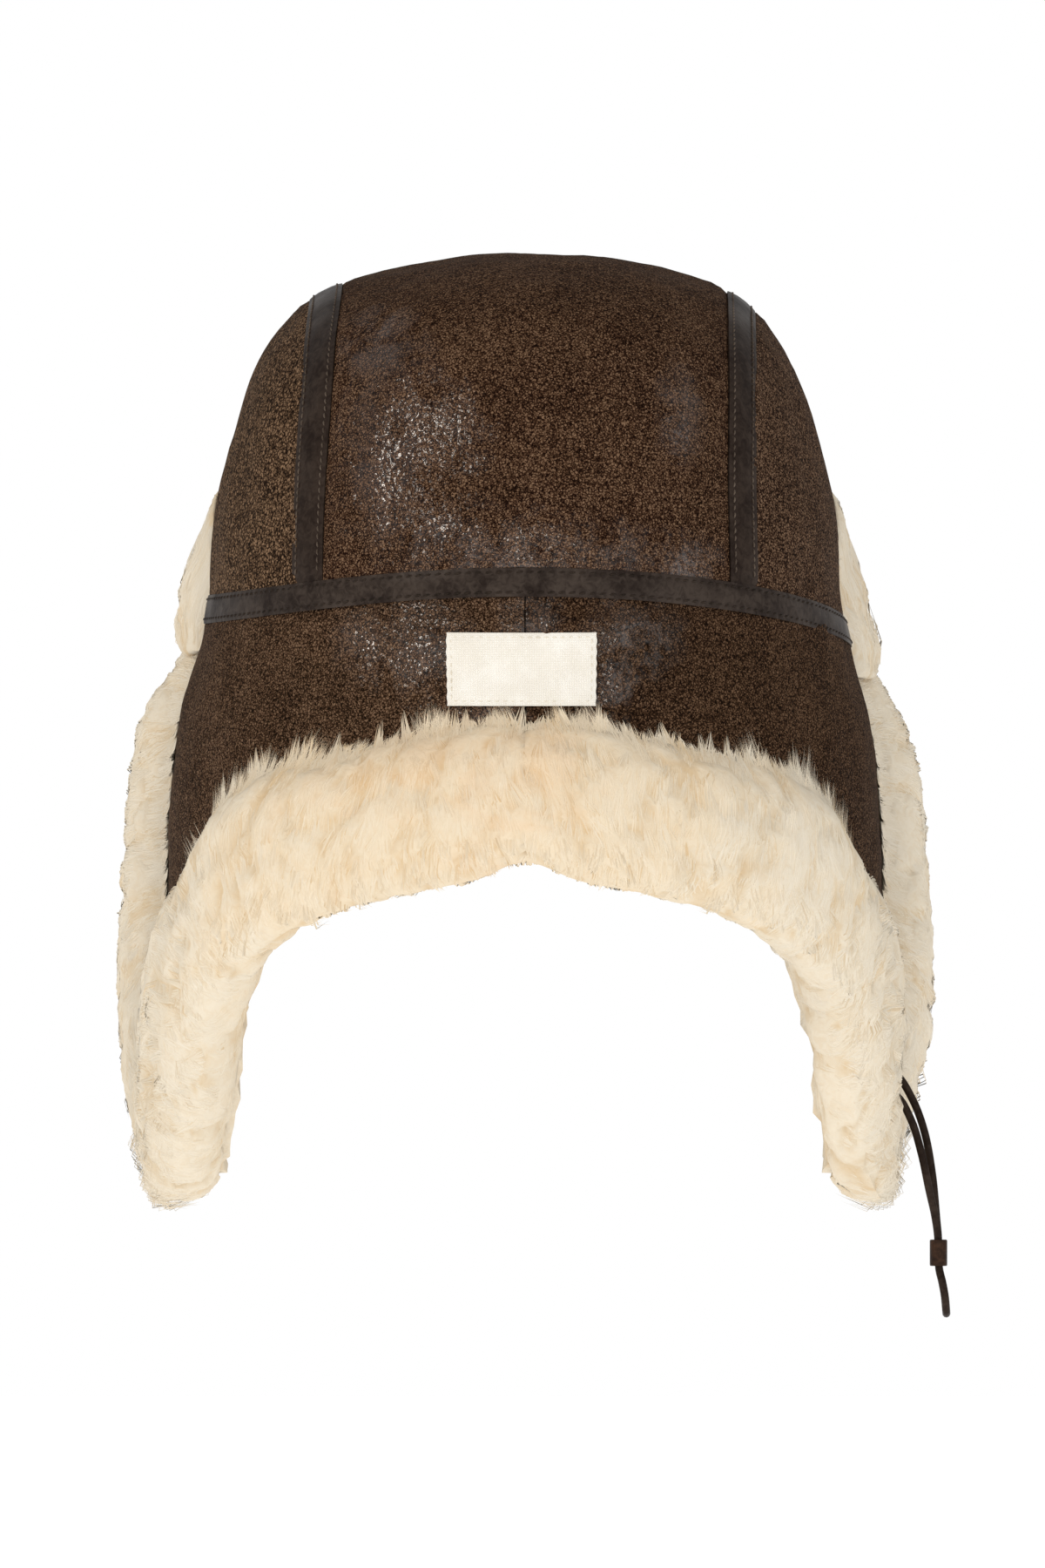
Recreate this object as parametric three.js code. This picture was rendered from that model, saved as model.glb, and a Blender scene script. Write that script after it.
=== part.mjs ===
// Sheepskin winter hat with a leather crown, ear flaps and a turned-up brow flap.
// Millimetres. Origin at the middle of the head opening, level with the brow.
// +X is the wearer's right, +Y the wearer's front, +Z up.

import * as THREE from 'three';
import { mergeVertices } from 'three/addons/utils/BufferGeometryUtils.js';

// Driving dimensions
const leatherThick = 1.6;
const tapeThick = 1.0;
const tapeLift = 0.8;
const woolThick = 12;
const woolLift = 1.5;
const skirtWoolLift = 2.8;
const borderLift = 1.3;
const seamGap = 0.4;
const bandWidth = 9.2;
const tapeWidth = { left: 9.6, right: 8.6 };
const seamHalf = { left: 69, right: 69.5 };
const seamLean = { left: 7, right: 1 };
const crownTop = 114;
const bandBack = 8.3;
const bandSide = { left: 0, right: -7.5 };
const bandFront = -4;
const bandFall = { left: 2.4, right: 1.2 };
const borderLip = 0.28;
const browDrop = 9;
const browClearance = 1.4;
const browFurThick = 10;
const templeFlare = { start: 10, full: 42 };
const laceDiameter = 2.6;

// Half width and half depth of the hat at heights from the crown top to the foot of the flaps
const sections = [
  { z: 114.0, halfWidth: 0, halfDepth: 0 },
  { z: 112.6, halfWidth: 25, halfDepth: 30 },
  { z: 108.4, halfWidth: 46, halfDepth: 56 },
  { z: 101.5, halfWidth: 64, halfDepth: 77 },
  { z: 93.5, halfWidth: 74.5, halfDepth: 90 },
  { z: 80.6, halfWidth: 84.3, halfDepth: 101.5 },
  { z: 66.7, halfWidth: 90.2, halfDepth: 108.5 },
  { z: 45.9, halfWidth: 95.8, halfDepth: 114 },
  { z: 25.0, halfWidth: 99.6, halfDepth: 117 },
  { z: 2.0, halfWidth: 100.6, halfDepth: 118 },
  { z: -16.7, halfWidth: 105, halfDepth: 119.5 },
  { z: -33.0, halfWidth: 109.8, halfDepth: 121.5 },
  { z: -60.0, halfWidth: 112.8, halfDepth: 122.5 },
  { z: -95.0, halfWidth: 114, halfDepth: 121 },
  { z: -140.0, halfWidth: 114, halfDepth: 117 },
  { z: -192.0, halfWidth: 112.5, halfDepth: 112 },
];

// Broad hollows (negative) and swells of the leather seen from behind
const swells = [
  { x: -46, z: 107, reach: 17, height: -1.8 },
  { x: -27, z: 112, reach: 14, height: -1.0 },
  { x: -48, z: 62, reach: 20, height: -1.0 },
  { x: 4, z: 24, reach: 26, height: 1.6 },
  { x: -30, z: -14, reach: 17, height: 1.5 },
  { x: 33, z: -12, reach: 17, height: 1.5 },
  { x: 62, z: 40, reach: 24, height: -0.8 },
];

// Stations along the edge of the skirt, from the centre back round the ear flap to the temple.
// outer is the free edge of the wool border, inner is where the border starts on the leather,
// top is where the ruling line through the station starts at the band. Angles in degrees from
// the centre back; thick is how far the wool stands out from the leather.
const edgeStations = [
  { top: 0, outer: 0, outerZ: -80, inner: 0, innerZ: -40, thick: 13 },
  { top: 3, outer: 3.5, outerZ: -82, inner: 3.5, innerZ: -38, thick: 13 },
  { top: 8, outer: 9, outerZ: -86.5, inner: 9, innerZ: -39, thick: 13 },
  { top: 17, outer: 21, outerZ: -91, inner: 20, innerZ: -43, thick: 13 },
  { top: 28, outer: 35, outerZ: -98, inner: 34, innerZ: -49, thick: 13 },
  { top: 38, outer: 46, outerZ: -107, inner: 46, innerZ: -54, thick: 13 },
  { top: 48, outer: 55, outerZ: -119, inner: 56, innerZ: -64, thick: 13 },
  { top: 57, outer: 60, outerZ: -134, inner: 63, innerZ: -80, thick: 13 },
  { top: 65, outer: 63.5, outerZ: -151, inner: 73, innerZ: -95, thick: 13 },
  { top: 73, outer: 68, outerZ: -169, inner: 80, innerZ: -116, thick: 12.5 },
  { top: 81, outer: 77, outerZ: -184, inner: 84, innerZ: -143, thick: 11 },
  { top: 90, outer: 90, outerZ: -188.5, inner: 90.5, innerZ: -162, thick: 9 },
  { top: 96, outer: 102, outerZ: -184, inner: 97.5, innerZ: -143, thick: 11 },
  { top: 100, outer: 110, outerZ: -170, inner: 99.5, innerZ: -124, thick: 14 },
  { top: 104, outer: 114, outerZ: -151, inner: 100.5, innerZ: -110, thick: 15.5 },
  { top: 108, outer: 117, outerZ: -130, inner: 101.5, innerZ: -97, thick: 15.5 },
  { top: 112, outer: 119, outerZ: -107, inner: 103, innerZ: -82, thick: 15 },
  { top: 115, outer: 121, outerZ: -78, inner: 104.5, innerZ: -60, thick: 14 },
  { top: 118, outer: 122.5, outerZ: -48, inner: 106, innerZ: -38, thick: 13 },
  { top: 120, outer: 123.5, outerZ: -18, inner: 107, innerZ: -18, thick: 12.5 },
];

// Section of the wool border: along runs from the free edge (0) to the leather (1),
// out is a share of the wool's thickness outside the leather, or inside it when negative
const borderSection = [
  { along: 1.0, out: 0.04 },
  { along: 0.97, out: 0.5 },
  { along: 0.8, out: 0.88 },
  { along: 0.52, out: 1.0 },
  { along: 0.24, out: 0.86 },
  { along: 0.05, out: 0.4 },
  { along: 0.0, out: -0.15 },
  { along: 0.08, out: -0.8 },
  { along: 0.28, out: -1.08 },
  { along: 0.28, out: 0.04 },
  { along: 0.52, out: 0.04 },
  { along: 0.76, out: 0.04 },
];

// Top edge of the turned-up brow flap from its end at the temple to the middle of the front
const browStations = [
  { angle: 98, top: 17 },
  { angle: 101, top: 26 },
  { angle: 107, top: 35 },
  { angle: 118, top: 44 },
  { angle: 135, top: 53 },
  { angle: 155, top: 59 },
  { angle: 180, top: 61 },
];

// Section of the brow wool: up runs from the fold (0) to the free top edge (1)
const browSection = [
  { up: 0.05, out: 0 },
  { up: 0.0, out: 0.35 },
  { up: 0.03, out: 0.75 },
  { up: 0.2, out: 0.98 },
  { up: 0.48, out: 1.0 },
  { up: 0.76, out: 0.92 },
  { up: 0.95, out: 0.62 },
  { up: 1.0, out: 0.25 },
  { up: 0.97, out: 0 },
  { up: 0.74, out: 0 },
  { up: 0.5, out: 0 },
  { up: 0.26, out: 0 },
];
const browLockCells = 8;
const browEndThinning = 0.6;
const browLeatherInset = 14;

// Route of the lace: out of the right flap, down through the keeper, round the loop and back
const laceRoute = [
  { x: 114.7, y: 5.0, z: -147.0 },
  { x: 118.6, y: 5.0, z: -148.4 },
  { x: 123.7, y: 4.7, z: -156.2 },
  { x: 127.6, y: 4.0, z: -166.8 },
  { x: 130.1, y: 3.0, z: -180.7 },
  { x: 131.4, y: 1.8, z: -194.6 },
  { x: 131.9, y: 1.55, z: -200.0 },
  { x: 132.0, y: 1.55, z: -205.0 },
  { x: 132.2, y: 1.6, z: -210.2 },
  { x: 133.2, y: 3.6, z: -214.6 },
  { x: 134.0, y: 5.2, z: -219.0 },
  { x: 134.4, y: 3.4, z: -223.2 },
  { x: 134.5, y: 0.0, z: -224.6 },
  { x: 134.4, y: -3.4, z: -223.2 },
  { x: 134.0, y: -5.2, z: -219.0 },
  { x: 133.2, y: -3.6, z: -214.6 },
  { x: 132.2, y: -1.6, z: -210.2 },
  { x: 132.0, y: -1.55, z: -205.0 },
  { x: 131.8, y: -1.55, z: -200.0 },
  { x: 130.9, y: -1.9, z: -193.6 },
  { x: 128.9, y: -3.0, z: -184.7 },
  { x: 126.6, y: -4.0, z: -173.8 },
  { x: 123.4, y: -4.5, z: -163.2 },
  { x: 118.9, y: -4.2, z: -155.4 },
  { x: 114.7, y: -3.8, z: -153.6 },
];

const rowsOverCrown = 22;
const centerColumns = 10;
const sideColumns = 5;
const bandSteps = 52;
const edgeSteps = 36;
const laceSteps = 44;

const crownLeather = new THREE.MeshStandardMaterial({ color: 0x4a382c, roughness: 0.55, metalness: 0 });
const sideLeather = new THREE.MeshStandardMaterial({ color: 0x534233, roughness: 0.65, metalness: 0 });
const skirtLeather = new THREE.MeshStandardMaterial({ color: 0x4c3a2e, roughness: 0.6, metalness: 0 });
const tapeLeather = new THREE.MeshStandardMaterial({ color: 0x342a25, roughness: 0.45, metalness: 0 });
const laceLeather = new THREE.MeshStandardMaterial({ color: 0x2c211d, roughness: 0.5, metalness: 0 });
const wool = new THREE.MeshStandardMaterial({ color: 0xf0e2c8, roughness: 0.95, metalness: 0 });
const wovenPatch = new THREE.MeshStandardMaterial({ color: 0xefeadf, roughness: 0.85, metalness: 0 });

const radians = THREE.MathUtils.degToRad;
const lerp = THREE.MathUtils.lerp;
const smooth = THREE.MathUtils.smoothstep;

const profile = new THREE.CatmullRomCurve3(
  sections.map((row) => new THREE.Vector3(row.halfWidth, row.halfDepth, row.z)),
);

// Profile parameter at a height, by halving
function profileAt(z) {
  let low = 0;
  let high = 1;
  for (let step = 0; step < 30; step += 1) {
    const middle = (low + high) / 2;
    if (profile.getPoint(middle).z > z) {
      low = middle;
    } else {
      high = middle;
    }
  }
  return (low + high) / 2;
}

function swellAt(x, y, z) {
  const back = 0.5 - 0.5 * Math.tanh(y / 20);
  let height = 0;
  for (const swell of swells) {
    const away = ((x - swell.x) ** 2 + (z - swell.z) ** 2) / swell.reach ** 2;
    height += swell.height * Math.exp(-away);
  }
  return height * back;
}

// A point on the hat: angle in radians from the centre back towards +X, u along the profile,
// out is the distance outside the leather's outer face
function onHat(angle, u, out) {
  const here = profile.getPoint(u);
  const ahead = profile.getPoint(Math.min(1, u + 0.002));
  const behind = profile.getPoint(Math.max(0, u - 0.002));
  const cosine = Math.cos(angle);
  const beside = cosine < 0 ? 1 - smooth(-cosine, 0.6, 0.8) : 0;
  const flare = beside * smooth(bandHeight(angle) - here.z, templeFlare.start, templeFlare.full);
  const round = Math.sin(angle);
  const sine = lerp(round, Math.sign(round), flare);
  const point = new THREE.Vector3(here.x * sine, -here.y * cosine, here.z);
  const around = new THREE.Vector3(here.x * cosine * (1 - flare), here.y * round, 0);
  const down = ahead.sub(behind);
  const along = new THREE.Vector3(down.x * sine, -down.y * cosine, down.z);
  const normal = around.cross(along).normalize().negate();
  if (here.x < 0.01) {
    normal.set(0, 0, 1);
  }
  const height = out + swellAt(point.x, point.y, point.z);
  return point.addScaledVector(normal, height);
}

function onHatAtHeight(angle, z, out) {
  return onHat(angle, profileAt(z), out);
}

const signOf = { left: -1, right: 1 };
const sideOf = (x) => (x < 0 ? 'left' : 'right');

// Height of the seam under the band, for an angle in radians
function bandHeight(angle) {
  const side = sideOf(Math.sin(angle));
  const level = bandSide[side];
  const cosine = Math.cos(angle);
  if (cosine > 0) {
    return level + (bandBack - level) * cosine ** bandFall[side];
  }
  return level + (bandFront - level) * cosine ** 2;
}

// Repeatable scatter between -1 and 1 for a pair of whole numbers
function scatter(i, j) {
  const value = Math.sin(i * 12.9898 + j * 78.233) * 43758.5453;
  return 2 * (value - Math.floor(value)) - 1;
}

// A closed body through rings of points. Each ring is a closed section. flat gives the ring's
// points in its own plane, for the two end faces, which are ladders without it; lock gives the
// height of a wool lock on a cell, which stands outwards.
function skin(rings, { closed = false, flat = null, lock = null } = {}) {
  const corners = [];
  const add = (...points) => points.forEach((point) => corners.push(point.x, point.y, point.z));
  const count = rings[0].length;
  const last = closed ? rings.length : rings.length - 1;
  const turn = ringTurn(rings[0], rings[1]);
  for (let i = 0; i < last; i += 1) {
    const one = rings[i];
    const two = rings[(i + 1) % rings.length];
    for (let j = 0; j < count; j += 1) {
      const k = (j + 1) % count;
      const height = lock ? lock(i, j) : 0;
      if (height > 0) {
        const tip = one[j].clone().add(one[k]).add(two[j]).add(two[k]).multiplyScalar(0.25);
        const across = two[k].clone().sub(one[j]);
        const upward = two[j].clone().sub(one[k]);
        const normal = across.cross(upward).normalize().multiplyScalar(turn);
        tip.addScaledVector(normal, height);
        tip.addScaledVector(two[j].clone().sub(one[j]), 0.22 * scatter(i, j));
        tip.addScaledVector(one[k].clone().sub(one[j]), 0.22 * scatter(j, i + 7));
        add(one[j], two[j], tip, two[j], two[k], tip, two[k], one[k], tip, one[k], one[j], tip);
      } else {
        add(one[j], two[j], two[k], one[j], two[k], one[k]);
      }
    }
  }
  if (!closed) {
    const first = rings[0];
    const end = rings[rings.length - 1];
    for (const [a, b, c] of flat ? flatFaces(flat) : ladderFaces(count)) {
      add(first[a], first[b], first[c], end[a], end[c], end[b]);
    }
  }
  return closedBody(corners);
}

// 1 where a ring runs anticlockwise seen from the next one, otherwise -1
function ringTurn(one, two) {
  const area = new THREE.Vector3();
  const step = new THREE.Vector3();
  one.forEach((point, j) => {
    area.add(point.clone().cross(one[(j + 1) % one.length]));
    step.add(two[j]).sub(point);
  });
  return Math.sign(area.dot(step));
}

// Faces across a section whose points lie in one plane
function flatFaces(flat) {
  const outline = flat.map(([a, b]) => new THREE.Vector2(a, b));
  const faces = THREE.ShapeUtils.triangulateShape(outline, []);
  return THREE.ShapeUtils.isClockWise(outline) ? faces.map(([a, b, c]) => [a, c, b]) : faces;
}

// Faces across the thin end of a wall, from rung to rung
function ladderFaces(count) {
  const faces = [];
  for (let j = 0; j < count / 2 - 1; j += 1) {
    const other = count - 1 - j;
    faces.push([j, j + 1, other - 1], [j, other - 1, other]);
  }
  return faces;
}

// Shares the corners, drops faces without area and turns the faces outwards
function closedBody(corners) {
  const loose = new THREE.BufferGeometry();
  loose.setAttribute('position', new THREE.Float32BufferAttribute(corners, 3));
  const shared = mergeVertices(loose, 0.002);
  const position = shared.getAttribute('position');
  const index = shared.getIndex().array;
  const kept = [];
  let volume = 0;
  const a = new THREE.Vector3();
  const b = new THREE.Vector3();
  const c = new THREE.Vector3();
  for (let i = 0; i < index.length; i += 3) {
    const [p, q, r] = [index[i], index[i + 1], index[i + 2]];
    if (p !== q && q !== r && r !== p) {
      kept.push([p, q, r]);
      a.fromBufferAttribute(position, p);
      b.fromBufferAttribute(position, q);
      c.fromBufferAttribute(position, r);
      volume += a.dot(b.cross(c)) / 6;
    }
  }
  const faces = volume > 0 ? kept : kept.map(([p, q, r]) => [p, r, q]);
  const body = new THREE.BufferGeometry();
  body.setAttribute('position', position);
  body.setIndex(faces.flat());
  body.computeVertexNormals();
  return body;
}

// A wall between two distances from the hat's outer face. place(i, j, out) gives its points.
function wall(columns, rows, outside, inside, place, options = {}) {
  const rings = [];
  for (let i = 0; i <= columns; i += 1) {
    const ring = [];
    for (let j = 0; j <= rows; j += 1) {
      ring.push(place(i / columns, j / rows, outside));
    }
    for (let j = rows; j >= 0; j -= 1) {
      ring.push(place(i / columns, j / rows, inside));
    }
    rings.push(ring);
  }
  if (options.closed) {
    rings.pop();
  }
  return skin(rings, options);
}

const group = new THREE.Group();

function addPiece(name, geometry, material) {
  const piece = new THREE.Mesh(geometry, material);
  piece.name = name;
  group.add(piece);
}

// Distance of the crown seam from the middle plane at a height
function seamX(side, z) {
  return seamHalf[side] - seamLean[side] * Math.max(0, z / crownTop) ** 2;
}

// A run over the crown from the nape to the brow that keeps to one share of the seam's distance,
// shifted sideways by some millimetres. Gives angle and profile parameter at even steps.
const runCache = new Map();
function runOverCrown(share, shift, lift) {
  const key = `${share.toFixed(4)} ${shift.toFixed(2)} ${lift.toFixed(2)}`;
  if (runCache.has(key)) {
    return runCache.get(key);
  }
  const side = sideOf(share);
  const xAt = (u) => share * (seamX(side, profile.getPoint(u).z)) + shift;
  let top = 0;
  let foot = profileAt(20);
  for (let step = 0; step < 40; step += 1) {
    const middle = (top + foot) / 2;
    if (profile.getPoint(middle).x < Math.abs(xAt(middle))) {
      top = middle;
    } else {
      foot = middle;
    }
  }
  const summit = foot;
  const low = profileAt(-12);
  const halves = [];
  const fine = 160;
  for (const facing of ['back', 'front']) {
    const half = [];
    let margin = 0;
    for (let k = 0; k <= fine; k += 1) {
      const u = lerp(summit, low, (k / fine) ** 2);
      const ratio = THREE.MathUtils.clamp(xAt(u) / Math.max(profile.getPoint(u).x, 1e-6), -1, 1);
      const sideways = Math.asin(ratio);
      const turn = side === 'left' ? -Math.PI : Math.PI;
      const angle = facing === 'back' ? sideways : turn - sideways;
      const above = profile.getPoint(u).z - bandHeight(angle) - lift;
      if (above < 0) {
        const t = margin / (margin - above);
        const before = half[half.length - 1];
        const [footAngle, footU] = [lerp(before.angle, angle, t), lerp(before.u, u, t)];
        half.push({ angle: footAngle, u: footU, point: onHat(footAngle, footU, 0) });
        break;
      }
      margin = above;
      half.push({ angle, u, point: onHat(angle, u, 0) });
    }
    halves.push(half);
  }
  const path = [...halves[0].reverse(), ...halves[1].slice(1)];
  const lengths = [0];
  for (let k = 1; k < path.length; k += 1) {
    lengths.push(lengths[k - 1] + path[k].point.distanceTo(path[k - 1].point));
  }
  const total = lengths[lengths.length - 1];
  const run = [];
  let k = 1;
  for (let row = 0; row <= rowsOverCrown; row += 1) {
    const goal = (total * row) / rowsOverCrown;
    while (k < path.length - 1 && lengths[k] < goal) {
      k += 1;
    }
    const t = (goal - lengths[k - 1]) / (lengths[k] - lengths[k - 1]);
    run.push({
      angle: lerp(path[k - 1].angle, path[k].angle, t),
      u: lerp(path[k - 1].u, path[k].u, t),
    });
  }
  runCache.set(key, run);
  return run;
}

function makeCrown() {
  const center = (s, r, out) => {
    const share = 2 * s - 1;
    const shift = -Math.sign(share) * Math.abs(share) * seamGap * 0.5;
    const station = runOverCrown(share, shift, seamGap)[Math.round(r * rowsOverCrown)];
    return onHat(station.angle, station.u, out);
  };
  const panel = wall(centerColumns, rowsOverCrown, 0, -leatherThick, center);
  addPiece('crown_center_panel', panel, crownLeather);

  for (const side of ['left', 'right']) {
    const sign = signOf[side];
    const seam = runOverCrown(sign, sign * seamGap * 0.5, seamGap);
    const first = seam[0];
    const last = seam[rowsOverCrown];
    const place = (s, r, out) => {
      const station = seam[Math.round(s * rowsOverCrown)];
      const footAngle = lerp(first.angle, last.angle, s);
      const footU = profileAt(bandHeight(footAngle) + seamGap);
      return onHat(lerp(station.angle, footAngle, r), lerp(station.u, footU, r), out);
    };
    const sidePanel = wall(rowsOverCrown, sideColumns, 0, -leatherThick, place);
    addPiece(`crown_side_panel_${side}`, sidePanel, sideLeather);

    const half = tapeWidth[side] / 2;
    const lift = bandWidth / 2 + seamGap;
    const tape = (r, s, out) => {
      const shift = sign * lerp(-half, half, s);
      const station = runOverCrown(sign, shift, lift)[Math.round(r * rowsOverCrown)];
      return onHat(station.angle, station.u, out);
    };
    const strip = wall(rowsOverCrown, 1, tapeLift + tapeThick, tapeLift, tape);
    addPiece(`crown_tape_${side}`, strip, tapeLeather);
  }
}

function makeBand() {
  const place = (s, r, out) => {
    const angle = 2 * Math.PI * s;
    return onHatAtHeight(angle, bandHeight(angle) + lerp(1, -1, r) * bandWidth / 2, out);
  };
  const band = wall(bandSteps, 1, tapeLift + tapeThick, tapeLift, place, { closed: true });
  addPiece('band_tape', band, tapeLeather);
}

// Edge stations at even steps along the free edge of the border
const stationColumns = Object.keys(edgeStations[0]);
function edgeStation(t) {
  const at = Math.min(t * (edgeStations.length - 1), edgeStations.length - 1.0001);
  const k = Math.floor(at);
  const pick = (i) => edgeStations[THREE.MathUtils.clamp(i, 0, edgeStations.length - 1)];
  const [p, q, r, s] = [pick(k - 1), pick(k), pick(k + 1), pick(k + 2)];
  const f = at - k;
  const row = {};
  for (const column of stationColumns) {
    const slopeOne = (r[column] - p[column]) / 2;
    const slopeTwo = (s[column] - q[column]) / 2;
    const [f2, f3] = [f * f, f * f * f];
    row[column] = q[column] * (2 * f3 - 3 * f2 + 1) + slopeOne * (f3 - 2 * f2 + f)
      + r[column] * (3 * f2 - 2 * f3) + slopeTwo * (f3 - f2);
  }
  return row;
}

function evenStations(count) {
  const fine = 600;
  const lengths = [0];
  let before = null;
  for (let k = 0; k <= fine; k += 1) {
    const row = edgeStation(k / fine);
    const point = onHatAtHeight(radians(row.outer), row.outerZ, 0);
    if (before) {
      lengths.push(lengths[k - 1] + point.distanceTo(before));
    }
    before = point;
  }
  const result = [];
  let k = 1;
  for (let i = 0; i <= count; i += 1) {
    const goal = (lengths[fine] * i) / count;
    while (k < fine && lengths[k] < goal) {
      k += 1;
    }
    const t = (k - 1 + (goal - lengths[k - 1]) / (lengths[k] - lengths[k - 1])) / fine;
    result.push(edgeStation(t));
  }
  return result;
}

const stations = evenStations(edgeSteps);

// Foot of the brow flap's wool, for an angle in radians
function browFoot(angle) {
  return bandHeight(angle) - browDrop;
}

// How far the front end of an edge row is raised, so that the border ends under the brow flap
function templeRise(side, row) {
  const foot = edgeStations[edgeStations.length - 1].outerZ;
  const end = browFoot(signOf[side] * radians(120)) - browClearance;
  return smooth(row.outerZ, -70, foot) * (end - foot);
}

// Angle in radians on one side of the hat, kept half a gap away from the centre back seam
function angleOn(side, degrees) {
  return signOf[side] * Math.max(radians(degrees), seamGap / 2 / 105);
}

// A point of the border between its free edge (0) and its inner edge (1)
function borderPoint(side, row, along, out) {
  const z = lerp(row.outerZ, row.innerZ, along) + templeRise(side, row);
  return onHatAtHeight(angleOn(side, lerp(row.outer, row.inner, along)), z, out);
}

function makeSkirt(side) {
  const lip = borderLip + 0.03;
  const place = (s, r, out) => {
    const row = stations[Math.round(s * edgeSteps)];
    const down = r ** 1.6;
    const angle = angleOn(side, lerp(row.top, lerp(row.outer, row.inner, lip), down));
    const edgeZ = lerp(row.outerZ, row.innerZ, lip) + templeRise(side, row);
    return onHatAtHeight(angle, lerp(bandHeight(angle) - seamGap, edgeZ, down), out);
  };
  const leather = wall(edgeSteps, 4, 0, -leatherThick, place);
  addPiece(`skirt_leather_${side}`, leather, skirtLeather);

  const outer = -leatherThick - skirtWoolLift;
  const rows = 3;
  const lining = wall(edgeSteps, rows, outer, -leatherThick - woolLift - woolThick, place, {
    lock: (i, j) => (j > rows && j <= 2 * rows ? 2.4 + 0.8 * scatter(i, j) : 0),
  });
  addPiece(`skirt_wool_lining_${side}`, lining, wool);
}

function makeBorder(side) {
  const slim = side === 'right' ? 4.2 : 0;
  const rings = stations.map((row) => {
    const low = smooth(-row.outerZ, 150, 184);
    const thick = row.thick - slim * low;
    const inner = woolThick + leatherThick + woolLift;
    return borderSection.map(({ along, out }) => {
      const reach = out > 0 ? Math.max(out * thick, borderLift) : out * inner / 1.08;
      return borderPoint(side, row, along, reach);
    });
  });
  const flat = borderSection.map(({ along, out }) => [along, out]);
  const lockCells = borderSection.findIndex((row) => row.out < -1);
  const fur = skin(rings, {
    flat,
    lock: (i, j) => {
      if (j === 0 || j >= lockCells - 1) {
        return 0;
      }
      const low = smooth(-stations[i].outerZ, 150, 180);
      return (2.8 + 1.0 * scatter(i, j)) * (side === 'right' ? 1 - 0.55 * low : 1);
    },
  });
  addPiece(`edge_fur_${side}`, fur, wool);
}

function makeCrownLining() {
  const columns = 26;
  const rows = 6;
  const outer = -leatherThick - woolLift;
  const place = (s, r, out) => {
    const angle = 2 * Math.PI * (s + 0.5 / columns);
    const front = smooth(-Math.cos(angle), 0.68, 0.8);
    const foot = lerp(bandHeight(angle) + seamGap, browFoot(angle), front);
    return onHat(angle, profileAt(foot) * r, out);
  };
  const lining = wall(columns, rows, outer, outer - woolThick, place, {
    closed: true,
    lock: (i, j) => (j > rows && j < 2 * rows ? 2.4 + 0.8 * scatter(i, j) : 0),
  });
  addPiece('crown_wool_lining', lining, wool);
}

// Height of the brow flap's free top edge at an angle in degrees from the centre back
function browTop(degrees) {
  const away = degrees > 180 ? 360 - degrees : degrees;
  for (let k = 1; k < browStations.length; k += 1) {
    const [one, two] = [browStations[k - 1], browStations[k]];
    if (away <= two.angle) {
      return lerp(one.top, two.top, (away - one.angle) / (two.angle - one.angle));
    }
  }
  return browStations[browStations.length - 1].top;
}

function makeBrowFlap() {
  const first = browStations[0].angle;
  const inner = tapeLift + tapeThick + 0.6;
  const backing = (s, r, out) => {
    const degrees = lerp(first + browLeatherInset, 360 - browLeatherInset - first, s);
    const angle = radians(degrees);
    return onHatAtHeight(angle, lerp(browFoot(angle) + 3, browTop(degrees) - 4, r), out);
  };
  const flap = wall(20, 4, inner + leatherThick, inner, backing);
  addPiece('brow_flap_leather', flap, skirtLeather);

  const start = inner + leatherThick + 1.0;
  const steps = 26;
  const rings = [];
  for (let i = 0; i <= steps; i += 1) {
    const degrees = lerp(first, 360 - first, i / steps);
    const angle = radians(degrees);
    // Towards its ends the flap rounds off, lies closer to the crown and thins at its top
    const near = Math.min(i, steps - i) / steps;
    const end = 1 - smooth(near, 0.05, 0.3);
    const round = lerp(0.35, 1, smooth(near, 0, 0.08));
    const lift = lerp(inner, start, smooth(near, 0, 0.07));
    rings.push(browSection.map(({ up, out }) => {
      const z = lerp(browFoot(angle), browTop(degrees), up * lerp(0.8, 1, round));
      const thin = 1 - browEndThinning * end * smooth(up, 0.3, 0.85);
      return onHatAtHeight(angle, z, lift + out * browFurThick * round * thin);
    }));
  }
  const flat = browSection.map(({ up, out }) => [up, out]);
  const fur = skin(rings, {
    flat,
    lock: (i, j) => (j < browLockCells && j > 1 ? 2.6 + 0.9 * scatter(i, j) : 0),
  });
  addPiece('brow_flap_fur', fur, wool);
}

function makeLabel() {
  const [left, right, top, bottom] = [-24.5, 22, -8, -31];
  const [thick, lift] = [0.7, 0.6];
  const place = (s, r, out) => {
    const x = lerp(left, right, s);
    const z = lerp(top, bottom, r);
    const u = profileAt(z);
    return onHat(Math.asin(x / profile.getPoint(u).x), u, out);
  };
  addPiece('label', wall(8, 3, lift + thick, lift, place), wovenPatch);
}

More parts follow.
